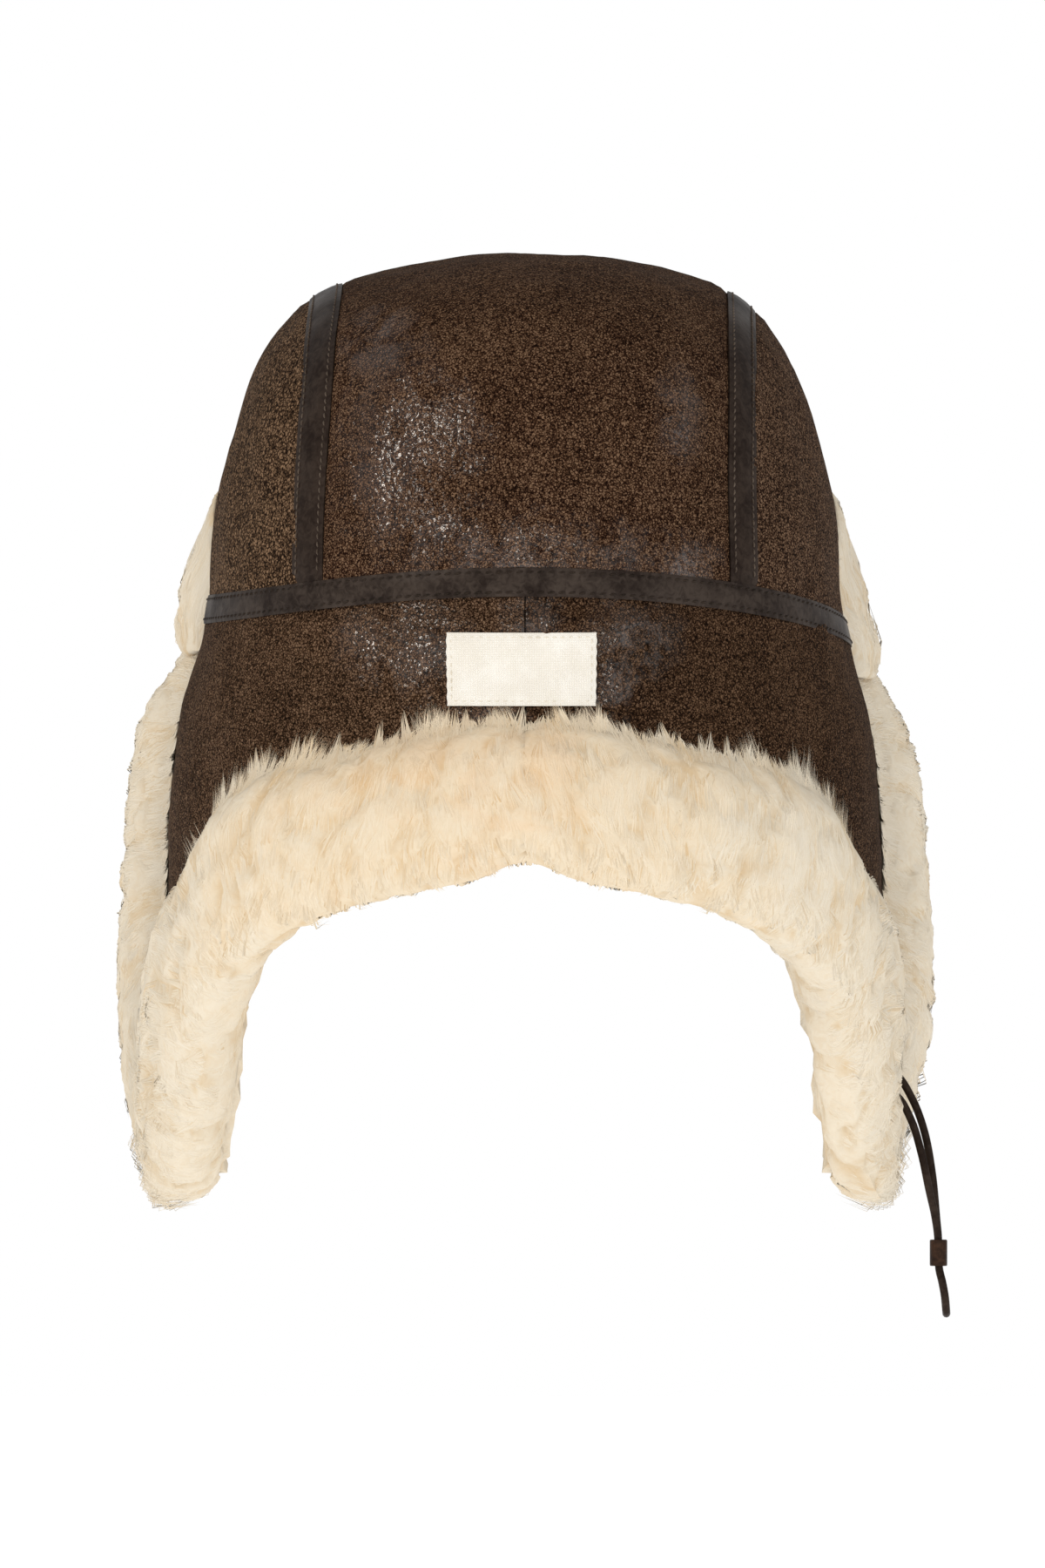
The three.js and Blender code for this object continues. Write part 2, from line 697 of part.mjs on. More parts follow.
function makeLace() {
  const points = laceRoute.map(({ x, y, z }) => new THREE.Vector3(x, y, z));
  const route = new THREE.CatmullRomCurve3(points, false, 'centripetal');
  const round = new THREE.Shape();
  round.absarc(0, 0, laceDiameter / 2, 0, 2 * Math.PI, false);
  const tube = new THREE.ExtrudeGeometry(round, {
    extrudePath: route,
    steps: laceSteps,
    curveSegments: 4,
  });
  addPiece('lace', tube, laceLeather);

  const [halfX, halfY, thick, height] = [1.9, 3.4, 0.9, 8.4];
  const corner = 1.6;
  const rounded = (grow) => {
    const shape = grow > 0 ? new THREE.Shape() : new THREE.Path();
    const [w, d, r] = [halfX + grow, halfY + grow, corner + grow * 0.6];
    shape.moveTo(-w + r, -d);
    shape.lineTo(w - r, -d);
    shape.quadraticCurveTo(w, -d, w, -d + r);
    shape.lineTo(w, d - r);
    shape.quadraticCurveTo(w, d, w - r, d);
    shape.lineTo(-w + r, d);
    shape.quadraticCurveTo(-w, d, -w, d - r);
    shape.lineTo(-w, -d + r);
    shape.quadraticCurveTo(-w, -d, -w + r, -d);
    return shape;
  };
  const outline = rounded(thick);
  outline.holes.push(rounded(0));
  const sleeve = new THREE.ExtrudeGeometry(outline, {
    depth: height,
    bevelEnabled: false,
    curveSegments: 4,
  });
  sleeve.translate(132, 0, -209.4);
  addPiece('lace_keeper', sleeve, laceLeather);
}

function makeButton() {
  const [radius, shank, rimLow, rimHigh] = [7, 1.8, 6.6, 9.0];
  const outline = [
    new THREE.Vector2(0, 0),
    new THREE.Vector2(shank, 0),
    new THREE.Vector2(shank, rimLow),
    new THREE.Vector2(radius - 0.6, rimLow),
    new THREE.Vector2(radius, rimLow + 0.8),
    new THREE.Vector2(radius - 0.6, rimHigh),
    new THREE.Vector2(0, rimHigh),
  ];
  const button = new THREE.LatheGeometry(outline, 12);
  button.deleteAttribute('normal');
  button.deleteAttribute('uv');
  const corners = button.toNonIndexed().getAttribute('position').array;
  const body = closedBody(Array.from(corners));
  body.rotateZ(Math.PI / 2);
  const foot = onHatAtHeight(-radians(91), -134, 0.4);
  body.translate(foot.x, foot.y, foot.z);
  addPiece('flap_button', body, laceLeather);
}

makeCrown();
makeBand();
makeSkirt('left');
makeSkirt('right');
makeBorder('left');
makeBorder('right');
makeCrownLining();
makeBrowFlap();
makeLabel();
makeLace();
makeButton();

export default group;
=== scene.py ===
# %% [markdown]
# # A sheepskin hat with ear flaps, seen from behind
#
# The real hat is cut from sheepskin: a dark leather side that faces out and a cream wool side
# that faces the head. The wool also shows outside, where the edge of the skin is turned up
# round the nape, the ear flaps and the brow. This lesson dresses the exact model, the frame,
# with leather, seams, stitches and wool, and leaves the frame itself where it is.

# %% The frame
import bpy
import math
import numpy as np
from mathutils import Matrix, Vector, noise


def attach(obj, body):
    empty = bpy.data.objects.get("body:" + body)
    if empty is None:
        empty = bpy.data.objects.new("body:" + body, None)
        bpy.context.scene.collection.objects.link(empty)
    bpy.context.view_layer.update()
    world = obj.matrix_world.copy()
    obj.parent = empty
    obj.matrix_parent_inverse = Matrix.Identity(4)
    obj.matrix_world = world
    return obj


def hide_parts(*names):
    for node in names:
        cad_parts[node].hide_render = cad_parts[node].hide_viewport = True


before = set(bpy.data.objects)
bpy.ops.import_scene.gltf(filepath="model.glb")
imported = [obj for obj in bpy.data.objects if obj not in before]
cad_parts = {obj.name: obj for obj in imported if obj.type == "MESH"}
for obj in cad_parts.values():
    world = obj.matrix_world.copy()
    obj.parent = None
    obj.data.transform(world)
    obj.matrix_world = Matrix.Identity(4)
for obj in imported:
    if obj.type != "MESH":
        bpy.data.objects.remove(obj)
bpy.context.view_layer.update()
print("frame nodes:", len(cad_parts))

# %% [markdown]
# ## The camera
#
# The photograph is taken straight from behind, level with the ear flaps and through a long
# lens. A camera sixteen metres away keeps the near side of the crown the size of its
# outline, as the picture shows it. One pixel of the 1200 x 1800 picture is 0.278 mm.

# %% Camera
PIXEL = 0.000278
picture_height = 1800 * PIXEL
camera_distance = 16.0
picture_middle = Vector((-0.0008, 0.0, -0.0556))

camera_data = bpy.data.cameras.new("camera")
camera_data.sensor_width = 36.0
camera_data.lens = 36.0 * camera_distance / picture_height
camera = bpy.data.objects.new("camera", camera_data)
camera.location = picture_middle - Vector((0.0, camera_distance, 0.0))
camera.rotation_euler = (math.pi / 2, 0.0, 0.0)
bpy.context.scene.collection.objects.link(camera)
bpy.context.scene.camera = camera
print("lens", round(camera_data.lens), "mm")

# %% [markdown]
# ## The form of the hat
#
# Every piece lies on one soft form, so the form is written once: half widths and half depths
# at a row of heights, joined by a smooth curve. A place on the hat is an angle from the middle
# of the back, a height, and a distance out from the face of the leather. The heights and
# widths are the ones the frame was built from.

# %% The curve of the side
SECTIONS = np.array([
    (114.0, 0, 0), (112.6, 25, 30), (108.4, 46, 56), (101.5, 64, 77), (93.5, 74.5, 90),
    (80.6, 84.3, 101.5), (66.7, 90.2, 108.5), (45.9, 95.8, 114), (25.0, 99.6, 117),
    (2.0, 100.6, 118), (-16.7, 105, 119.5), (-33.0, 109.8, 121.5), (-60.0, 112.8, 122.5),
    (-95.0, 114, 121), (-140.0, 114, 117), (-192.0, 112.5, 112),
]) * 0.001


def between(q, r, slope_q, slope_r, f):
    """The smooth way from q to r that leaves and arrives with the given slopes."""
    f2 = f * f
    f3 = f2 * f
    return (
        q * (2 * f3 - 3 * f2 + 1) + slope_q * (f3 - 2 * f2 + f)
        + r * (3 * f2 - 2 * f3) + slope_r * (f3 - f2)
    )


def smooth_curve(points, count):
    """Evenly numbered points on the smooth curve through a row of points."""
    points = np.asarray(points, float)
    ends = np.vstack([2 * points[0] - points[1], points, 2 * points[-1] - points[-2]])
    steps = np.linalg.norm(np.diff(ends, axis=0), axis=1) ** 0.5
    place = np.linspace(0, len(points) - 1, count)
    k = np.minimum(place.astype(int), len(points) - 2)
    f = (place - k)[:, None]
    p, q, r, s = ends[k], ends[k + 1], ends[k + 2], ends[k + 3]
    a, b, c = steps[k][:, None], steps[k + 1][:, None], steps[k + 2][:, None]
    slope_q = ((q - p) / a - (r - p) / (a + b) + (r - q) / b) * b
    slope_r = ((r - q) / b - (s - q) / (b + c) + (s - r) / c) * b
    return between(q, r, slope_q, slope_r, f)


def walked_along(points):
    """The length walked at each point of a row of points."""
    steps = np.linalg.norm(np.diff(points, axis=0), axis=1)
    return np.concatenate([[0], np.cumsum(steps)])


side_curve = smooth_curve(SECTIONS[:, [1, 2, 0]], 6001)
side_share = np.linspace(0, 1, 6001)
print("side curve from", side_curve[0, 2], "to", side_curve[-1, 2], "m")


# %% Places on the form
SIDES = ("left", "right")
SIGNS = (-1, 1)
BAND_BACK = 0.0083
BAND_FRONT = -0.004
BAND_SIDE = (0.0, -0.0075)
BAND_FALL = (2.4, 1.2)
SWELLS = np.array([
    (-46, 107, 17, -1.8), (-27, 112, 14, -1.0), (-48, 62, 20, -1.0), (4, 24, 26, 1.6),
    (-30, -14, 17, 1.5), (33, -12, 17, 1.5), (62, 40, 24, -0.8),
]) * 0.001


def smooth_step(value, low, high):
    share = np.clip((value - low) / (high - low), 0, 1)
    return share * share * (3 - 2 * share)


def share_at(height):
    """Share of the way down the side curve at a height."""
    return np.interp(-np.asarray(height), -side_curve[:, 2], side_share)


def band_height(angle):
    right = np.sin(angle) >= 0
    level = np.where(right, BAND_SIDE[1], BAND_SIDE[0])
    fall = np.where(right, BAND_FALL[1], BAND_FALL[0])
    cosine = np.cos(angle)
    back = level + (BAND_BACK - level) * np.maximum(cosine, 0) ** fall
    front = level + (BAND_FRONT - level) * cosine**2
    return np.where(cosine > 0, back, front)


def swell_at(x, y, z):
    height = np.zeros_like(x)
    for sx, sz, reach, tall in SWELLS:
        height += tall * np.exp(-((x - sx) ** 2 + (z - sz) ** 2) / reach**2)
    return height * (0.5 - 0.5 * np.tanh(y / 0.020))


def on_hat(angle, share, out):
    """Points on the hat, and the directions that face out of it there."""
    angle, share, out = np.broadcast_arrays(
        *(np.asarray(v, float) for v in (angle, share, out)))
    here = [np.interp(share, side_share, side_curve[:, k]) for k in range(3)]
    ahead = [np.interp(share + 0.002, side_share, side_curve[:, k]) for k in range(3)]
    behind = [np.interp(share - 0.002, side_share, side_curve[:, k]) for k in range(3)]
    cosine = np.cos(angle)
    sine = np.sin(angle)
    beside = np.where(cosine < 0, 1 - smooth_step(-cosine, 0.6, 0.8), 0)
    flare = beside * smooth_step(band_height(angle) - here[2], 0.010, 0.042)
    round_x = sine * (1 - flare) + np.sign(sine) * flare
    point = np.stack([here[0] * round_x, -here[1] * cosine, here[2]], -1)
    around = np.stack([here[0] * cosine * (1 - flare), here[1] * sine, 0 * sine], -1)
    down = [a - b for a, b in zip(ahead, behind)]
    along = np.stack([down[0] * round_x, -down[1] * cosine, down[2]], -1)
    normal = np.cross(along, around)
    size = np.linalg.norm(normal, axis=-1, keepdims=True)
    top = here[0] < 0.0005
    normal = np.where(top[..., None], [0, 0, 1], normal / np.maximum(size, 1e-12))
    height = out + swell_at(point[..., 0], point[..., 1], point[..., 2])
    return point + normal * height[..., None], normal


def on_hat_at(angle, height, out):
    return on_hat(angle, share_at(height), out)[0]


print("back of the brow line", on_hat_at(0.0, 0.0, 0.0).round(4))

# %% [markdown]
# ## The lace
#
# A thin waxed lace comes out of the wool of one ear flap, runs down through a small keeper,
# makes a loop and goes back up beside itself into the flap. It is limp, so it hangs straight
# under its own weight. A curve with a round bevel is the plain way to make a cord. The points
# are those of the frame's lace, and the curve passes through each of them.

# %% Lace
LACE_ROUTE = [
    (0.1147, 0.0050, -0.1470), (0.1186, 0.0050, -0.1484), (0.1237, 0.0047, -0.1562),
    (0.1276, 0.0040, -0.1668), (0.1301, 0.0030, -0.1807), (0.1314, 0.0018, -0.1946),
    (0.1319, 0.00155, -0.2000), (0.1320, 0.00155, -0.2050), (0.1322, 0.0016, -0.2102),
    (0.1332, 0.0036, -0.2146), (0.1340, 0.0052, -0.2190), (0.1344, 0.0034, -0.2232),
    (0.1345, 0.0000, -0.2246), (0.1344, -0.0034, -0.2232), (0.1340, -0.0052, -0.2190),
    (0.1332, -0.0036, -0.2146), (0.1322, -0.0016, -0.2102), (0.1320, -0.00155, -0.2050),
    (0.1318, -0.00155, -0.2000), (0.1309, -0.0019, -0.1936), (0.1289, -0.0030, -0.1847),
    (0.1266, -0.0040, -0.1738), (0.1234, -0.0045, -0.1632), (0.1189, -0.0042, -0.1554),
    (0.1147, -0.0038, -0.1536),
]
LACE_DIAMETER = 0.0026


def make_lace():
    line = smooth_curve(LACE_ROUTE, 193)
    data = bpy.data.curves.new("waxed_lace", "CURVE")
    data.dimensions = "3D"
    data.bevel_depth = LACE_DIAMETER / 2
    data.bevel_resolution = 3
    data.use_fill_caps = True
    spline = data.splines.new("POLY")
    spline.points.add(len(line) - 1)
    spline.points.foreach_set("co", np.c_[line, np.ones(len(line))].ravel())
    spline.use_smooth = True
    lace = bpy.data.objects.new("waxed_lace", data)
    bpy.context.scene.collection.objects.link(lace)
    length = float(np.linalg.norm(np.diff(line, axis=0), axis=1).sum())
    return lace, length


waxed_lace, lace_length = make_lace()
print("lace length", round(lace_length, 4), "m")

# %% [markdown]
# ## Helpers for pieces
#
# Each new piece begins as one of Blender's own primitives. A sheet of leather begins as a
# flat grid whose corners are then laid on the form, as a cutter lays a skin over a block.
# A wall gets its thickness from a Solidify modifier that is applied at once. The helpers
# below hold what every piece needs: nothing else selected, faces out, and a smooth shade.


# %% Sheets laid on the form
def corners_of(piece):
    flat = np.empty(len(piece.data.vertices) * 3)
    piece.data.vertices.foreach_get("co", flat)
    return flat.reshape(-1, 3)


def set_corners(piece, points):
    piece.data.vertices.foreach_set("co", np.ascontiguousarray(points, float).ravel())
    piece.data.update()


def choose(piece):
    bpy.ops.object.select_all(action="DESELECT")
    piece.select_set(True)
    bpy.context.view_layer.objects.active = piece


def apply_modifier(piece, kind, **settings):
    choose(piece)
    modifier = piece.modifiers.new(kind.lower(), kind)
    for key, value in settings.items():
        setattr(modifier, key, value)
    bpy.ops.object.modifier_apply(modifier=modifier.name)


def edit_all(piece, *steps):
    """Takes steps of edit mode, each with the whole piece selected."""
    choose(piece)
    bpy.ops.object.mode_set(mode="EDIT")
    for step in steps:
        bpy.ops.mesh.select_all(action="SELECT")
        step()
    bpy.ops.object.mode_set(mode="OBJECT")


def merge_corners():
    bpy.ops.mesh.remove_doubles(threshold=0.00001)


def turn_faces_out():
    bpy.ops.mesh.normals_make_consistent(inside=False)


def mark(piece, name, values):
    """Writes one value for each corner, which the piece's material reads."""
    layer = piece.data.attributes.new(name, "FLOAT", "POINT")
    layer.data.foreach_set("value", values.astype(np.float32))


def laid_grid(name, columns, rows, place):
    """A flat grid, x from 0 to 1 across and y from 0 to 1 down, laid where place says."""
    bpy.ops.object.select_all(action="DESELECT")
    bpy.ops.mesh.primitive_grid_add(x_subdivisions=columns, y_subdivisions=rows, size=1)
    piece = bpy.context.object
    piece.name = name
    piece.data.name = name
    flat = corners_of(piece) + 0.5
    set_corners(piece, place(flat[:, 0], flat[:, 1]))
    return piece


def face_out(piece, centre=(0.0, 0.0, -0.03)):
    """Turns an open sheet's faces away from the middle of the hat."""
    normals = np.empty(len(piece.data.polygons) * 3)
    middles = np.empty_like(normals)
    piece.data.polygons.foreach_get("normal", normals)
    piece.data.polygons.foreach_get("center", middles)
    away = middles.reshape(-1, 3) - np.array(centre)
    if (normals.reshape(-1, 3) * away).sum() < 0:
        edit_all(piece, bpy.ops.mesh.flip_normals)


def shade_smooth(piece, degrees=50):
    choose(piece)
    bpy.ops.object.shade_smooth_by_angle(angle=math.radians(degrees))


def count_faces(piece):
    piece.data.calc_loop_triangles()
    return len(piece.data.loop_triangles)


def wrinkle(points, size, seed):
    """Even noise between about -1 and 1 at points, with bumps of the given size in metres."""
    shift = Vector((seed * 3.17, seed * 1.91, seed * 2.53))
    return np.array([noise.noise(Vector(p) / size + shift) for p in points])


print("helpers ready")

# %% [markdown]
# ## Leather of the crown
#
# The crown is three panels: a broad one from the nape over the top to the brow, and one at
# each side. Two taped seams run beside the middle panel. A panel is a grid laid between its
# seams. Real sheepskin isn't even: it sinks a little beside the stitched tapes, has soft
# dents and folds where the hand pressed it, and puffs up round the sewn patch. These go into
# the mesh, which also carries how much each place has been rubbed, and the material adds the
# grain and the gloss.

# %% Runs over the crown
SEAM_HALF = (0.069, 0.0695)
SEAM_LEAN = (0.007, 0.001)
CROWN_TOP = 0.114
CROWN_LIFT = 0.0004


def seam_distance(right, height):
    lean = SEAM_LEAN[right] * np.maximum(0, height / CROWN_TOP) ** 2
    return SEAM_HALF[right] - lean


def run_over_crown(share, shift, lift, rows):
    """Angle and share of the side curve, row by row, from the nape over the top to the brow."""
    right = int(share >= 0)
    u_fine = np.linspace(0, float(share_at(0.020)), 4000)
    half_width = np.interp(u_fine, side_share, side_curve[:, 0])
    heights = np.interp(u_fine, side_share, side_curve[:, 2])
    wide = half_width - np.abs(share * seam_distance(right, heights) + shift)
    summit = u_fine[np.argmax(wide >= 0)]
    low = float(share_at(-0.012))
    u = summit + (low - summit) * np.linspace(0, 1, 400) ** 2
    z = np.interp(u, side_share, side_curve[:, 2])
    x = share * seam_distance(right, z) + shift
    ratio = np.clip(x / np.maximum(np.interp(u, side_share, side_curve[:, 0]), 1e-9), -1, 1)
    sideways = np.arcsin(ratio)
    turn = math.pi if right else -math.pi
    halves = []
    for angle in (sideways, turn - sideways):
        above = z - band_height(angle) - lift
        last = int(np.argmax(above < 0))
        t = above[last - 1] / (above[last - 1] - above[last])
        foot_angle = angle[last - 1] + t * (angle[last] - angle[last - 1])
        foot_u = u[last - 1] + t * (u[last] - u[last - 1])
        halves.append((np.append(angle[:last], foot_angle), np.append(u[:last], foot_u)))
    angles = np.concatenate([halves[0][0][::-1], halves[1][0][1:]])
    shares = np.concatenate([halves[0][1][::-1], halves[1][1][1:]])
    points = on_hat(angles, shares, 0.0)[0]
    length = walked_along(points)
    goal = np.linspace(0, length[-1], rows + 1)
    return np.interp(goal, length, angles), np.interp(goal, length, shares)


def grid_of_runs(columns, rows, run_at):
    """Angles and shares for a grid, one run a column, looked up by its shares across and down."""
    runs = [run_at(k / columns) for k in range(columns + 1)]
    angles = np.array([r[0] for r in runs])
    shares = np.array([r[1] for r in runs])

    def look(s, r):
        i = np.rint(s * columns).astype(int)
        j = np.rint(r * rows).astype(int)
        return angles[i, j], shares[i, j]

    return look


trial_shares = run_over_crown(1.0, 0.0, CROWN_LIFT, 10)[1]
print("right seam rises", np.interp(trial_shares[5], side_share, side_curve[:, 2]).round(4), "m")


# %% Soft dents of the leather
GAP = 0.0002
LEATHER_THICK = 0.0016
PATCH = (-0.0243, 0.0222, -0.0078, -0.0310)
FOLDS = np.array([
    (-47, 52, 4.2, 20, 1.0), (-34, 44, 3.8, 22, 0.8), (-41, 78, 5.0, 10, 0.7),
    (-18, 24, 14, 4.5, 0.7), (16, 22, 12, 4.0, 0.6), (50, 58, 3.6, 18, 0.8),
    (38, 42, 4.0, 14, 0.6), (0, -1, 1.9, 7, 0.9), (-52, -22, 4.0, 14, 0.7),
]) * 0.001


def folds_at(points):
    """Soft folds of the back, and the puff round the patch where its seam pulls the leather."""
    height = np.zeros(len(points))
    for x, z, wide, tall, lift in FOLDS:
        away = ((points[:, 0] - x) / wide) ** 2 + ((points[:, 2] - z) / tall) ** 2
        height = height + lift * np.exp(-away)
    beside = np.maximum(PATCH[0] - points[:, 0], points[:, 0] - PATCH[1])
    above = np.maximum(PATCH[3] - points[:, 2], points[:, 2] - PATCH[2])
    away = np.hypot(np.maximum(beside, 0), np.maximum(above, 0))
    ring = np.exp(-(((away - 0.0065) / 0.0034) ** 2)) * (0.7 + 0.3 * wrinkle(points, 0.012, 41))
    return np.where(points[:, 1] < 0, height + 0.0009 * ring, 0.0)


def leather_relief(points, across_seam, seed):
    """Height in metres of soft dents, and of the pull beside a seam that many metres away."""
    soft = 0.00085 * wrinkle(points, 0.026, seed) + 0.00034 * wrinkle(points, 0.0100, seed + 5)
    fine = 0.00010 * wrinkle(points, 0.0042, seed + 9)
    pull = np.exp(-((across_seam / 0.0048) ** 4))
    soft = soft * (1 - np.exp(-((across_seam / 0.0075) ** 4)))
    pucker = wrinkle(points, 0.0062, seed + 13)
    beside = np.exp(-(((across_seam - 0.0085) / 0.0042) ** 2))
    raised = folds_at(points) * (1 - np.exp(-((across_seam / 0.0055) ** 4)))
    return soft + fine + raised - 0.0007 * pull + beside * (0.00045 + 0.00035 * pucker)


RUBBED = np.array([
    (-46, 82, 15, 12), (-42, 50, 18, 32), (-24, 56, 12, 14), (0, 18, 42, 11), (-26, 24, 18, 12),
    (-31, -12, 14, 16), (-51, -12, 9, 12), (33, -10, 14, 12), (-14, -35, 14, 8),
    (28, -24, 8, 11), (2, -3, 10, 7), (50, 14, 12, 9), (49, 62, 7, 16),
]) * 0.001


def mark_rubbed(piece):
    """Writes how far each corner lies in a place that hands have rubbed glossy."""
    points = corners_of(piece)
    level = np.zeros(len(points))
    for x, z, wide, tall in RUBBED:
        away = ((points[:, 0] - x) / wide) ** 2 + ((points[:, 2] - z) / tall) ** 2
        level = np.maximum(level, np.exp(-away))
    level = level * (points[:, 1] < 0)
    mark(piece, "rubbed", level)


def finish_sheet(piece, thickness):
    mark_rubbed(piece)
    face_out(piece)
    apply_modifier(piece, "SOLIDIFY", thickness=thickness, offset=-1.0, use_rim=True)
    shade_smooth(piece)
    print(piece.name, count_faces(piece), "triangles")
    return piece


CENTER_WIDE = 0.138
CENTER_LONG = 0.43


def make_crown_center():
    columns, rows = 44, 124

    def run_at(s):
        share = 2 * s - 1
        return run_over_crown(share, -share * GAP, CROWN_LIFT, rows)

    look = grid_of_runs(columns, rows, run_at)

    def place(s, r):
        angle, share = look(s, r)
        flat = on_hat(angle, share, 0.0)[0]
        edge = np.minimum(s, 1 - s) * CENTER_WIDE
        foot = np.minimum(r, 1 - r) * CENTER_LONG
        rise = leather_relief(flat, np.minimum(edge, foot + 0.002), 1)
        return on_hat(angle, share, rise)[0]

    return finish_sheet(
        laid_grid("crown_leather_center", columns, rows, place), LEATHER_THICK)


def make_crown_side(right):
    rows, columns = 26, 112
    sign = SIGNS[right]
    angles, shares = run_over_crown(sign, sign * GAP, CROWN_LIFT, columns)
    foot_angles = np.linspace(angles[0], angles[-1], columns + 1)
    foot_shares = share_at(band_height(foot_angles) + CROWN_LIFT)

    def place(s, r):
        k = np.rint(s * columns).astype(int)
        angle = angles[k] + (foot_angles[k] - angles[k]) * r
        share = shares[k] + (foot_shares[k] - shares[k]) * r
        flat = on_hat(angle, share, 0.0)[0]
        seam = on_hat(angles[k], shares[k], 0.0)[0]
        foot = on_hat(foot_angles[k], foot_shares[k], 0.0)[0]
        beside = np.minimum(
            np.linalg.norm(flat - seam, axis=1), np.linalg.norm(flat - foot, axis=1) + 0.002)
        return on_hat(angle, share, leather_relief(flat, beside, 21 + 7 * right))[0]

    sheet = laid_grid(f"crown_leather_{SIDES[right]}", columns, rows, place)
    return finish_sheet(sheet, LEATHER_THICK)


crown_leather_center = make_crown_center()
crown_leather_left = make_crown_side(0)
crown_leather_right = make_crown_side(1)

# %% [markdown]
# ## The skirt and its edge
#
# Below the band hangs the skirt: it covers the nape and runs out into the two ear flaps. The
# free edge is described by stations from the middle of the back round the flap to the temple.
# Each station says where the edge of the wool is, where the leather begins, and how thick the
# wool stands. The same stations lay the leather, the turned-up wool and the lining.

# %% Stations of the edge
EDGE = np.array([
    (0, 0, -80, 0, -40, 13), (3, 3.5, -82, 3.5, -38, 13), (8, 9, -86.5, 9, -39, 13),
    (17, 21, -91, 20, -43, 13), (28, 35, -98, 34, -49, 13), (38, 46, -107, 46, -54, 13),
    (48, 55, -119, 56, -64, 13), (57, 60, -134, 63, -80, 13), (65, 63.5, -151, 73, -95, 13),
    (73, 68, -169, 80, -116, 12.5), (81, 77, -184, 84, -143, 11),
    (90, 90, -188.5, 90.5, -162, 9), (96, 102, -184, 97.5, -143, 11),
    (100, 110, -170, 99.5, -124, 14), (104, 114, -151, 100.5, -110, 15.5),
    (108, 117, -130, 101.5, -97, 15.5), (112, 119, -107, 103, -82, 15),
    (115, 121, -78, 104.5, -60, 14), (118, 122.5, -48, 106, -38, 13),
    (120, 123.5, -18, 107, -18, 12.5),
])
BROW_DROP = 0.009
BORDER_LIP = 0.28


def edge_at(t):
    """Top angle, outer angle and height, inner angle and height, thickness; angles in radians."""
    at = np.clip(np.asarray(t, float), 0, 1) * (len(EDGE) - 1)
    k = np.minimum(at.astype(int), len(EDGE) - 2)
    f = (at - k)[..., None]
    p, q = EDGE[np.maximum(k - 1, 0)], EDGE[k]
    r, s = EDGE[k + 1], EDGE[np.minimum(k + 2, len(EDGE) - 1)]
    row = between(q, r, (r - p) / 2, (s - q) / 2, f)
    turn = np.radians(row[..., [0, 1, 3]])
    size = row[..., [2, 4, 5]] * 0.001
    return turn[..., 0], turn[..., 1], size[..., 0], turn[..., 2], size[..., 1], size[..., 2]


fine_t = np.linspace(0, 1, 1201)
fine_row = edge_at(fine_t)
fine_edge = on_hat_at(fine_row[1], fine_row[2], 0.0)
fine_length = walked_along(fine_edge)
edge_length = float(fine_length[-1])


def even_t(s):
    """Station number share for an even share of the edge's length."""
    return np.interp(np.asarray(s, float) * edge_length, fine_length, fine_t)


def brow_foot(angle):
    return band_height(angle) - BROW_DROP


def temple_rise(right, outer_z):
    side = math.radians(120) * SIGNS[right]
    end = float(brow_foot(np.array(side))) - 0.0014
    return smooth_step(outer_z, -0.070, -0.018) * (end + 0.018)


def border_place(right, s, along, out):
    """A point of the turned-up edge: along runs from the free edge, 0, to the leather, 1.
    An s below 0 is across the middle of the back, on the other half's wool."""
    sign = SIGNS[right]
    _, outer, outer_z, inner, inner_z, _ = edge_at(even_t(np.abs(s)))
    z = outer_z + (inner_z - outer_z) * along + temple_rise(right, outer_z)
    angle = (outer + (inner - outer) * along) * sign * np.where(s < 0, -1, 1)
    return on_hat(angle, share_at(z), out)


print("edge of one side", round(edge_length, 3), "m")


# %% Leather of the skirt
def skirt_place(right, s, r, out):
    sign = SIGNS[right]
    top, outer, outer_z, inner, inner_z, _ = edge_at(even_t(s))
    lip = BORDER_LIP + 0.03
    down = r**1.6
    low = outer + (inner - outer) * lip
    angle = np.maximum(top + (low - top) * down, GAP / 0.105) * sign
    edge_z = outer_z + (inner_z - outer_z) * lip + temple_rise(right, outer_z)
    height = (band_height(angle) - 0.0004) * (1 - down) + edge_z * down
    return on_hat(angle, share_at(height), out)


def make_skirt_leather(right):
    columns, rows = 104, 46

    def place(s, r):
        flat = skirt_place(right, s, r, 0.0)[0]
        from_band = np.abs(flat[:, 2] - 0.002) + 0.001
        from_seam = np.abs(flat[:, 0])
        back = flat[:, 1] < 0
        rise = leather_relief(flat, from_band, 41 + 7 * right)
        crease = np.exp(-from_seam / 0.0022) * back
        bulge = np.exp(-(((from_seam - 0.0055) / 0.0035) ** 2)) * back
        knots = 0.5 + 0.9 * wrinkle(flat * np.array([0.2, 0.2, 1.0]), 0.0062, 61 + right)
        rise = rise - 0.0013 * crease + 0.0009 * bulge * knots
        return skirt_place(right, s, r, rise)[0]

    sheet = laid_grid(f"skirt_leather_sheet_{SIDES[right]}", columns, rows, place)
    return finish_sheet(sheet, LEATHER_THICK)


skirt_sheet_left = make_skirt_leather(0)
skirt_sheet_right = make_skirt_leather(1)

# %% [markdown]
# ## Tapes and band
#
# Each seam is covered with a folded leather tape, sewn down along both edges. A broader band
# runs all round where the crown meets the skirt, and the tapes of the crown tuck under it.
# A tape is a narrow grid laid along the seam with its middle a little raised and its edges
# pressed down by the thread, which also leaves a dimple at each stitch.

# %% Tape helper
TAPE_WIDTH = (0.0096, 0.0086)
BAND_WIDTH = 0.0092
TAPE_STITCH = 0.0024
BAND_STITCH = 0.0033
STITCH_INSET = 0.0014
TAPE_THICK = 0.0008
BAND_THICK = 0.0010
TAPE_LIFT = 0.0026


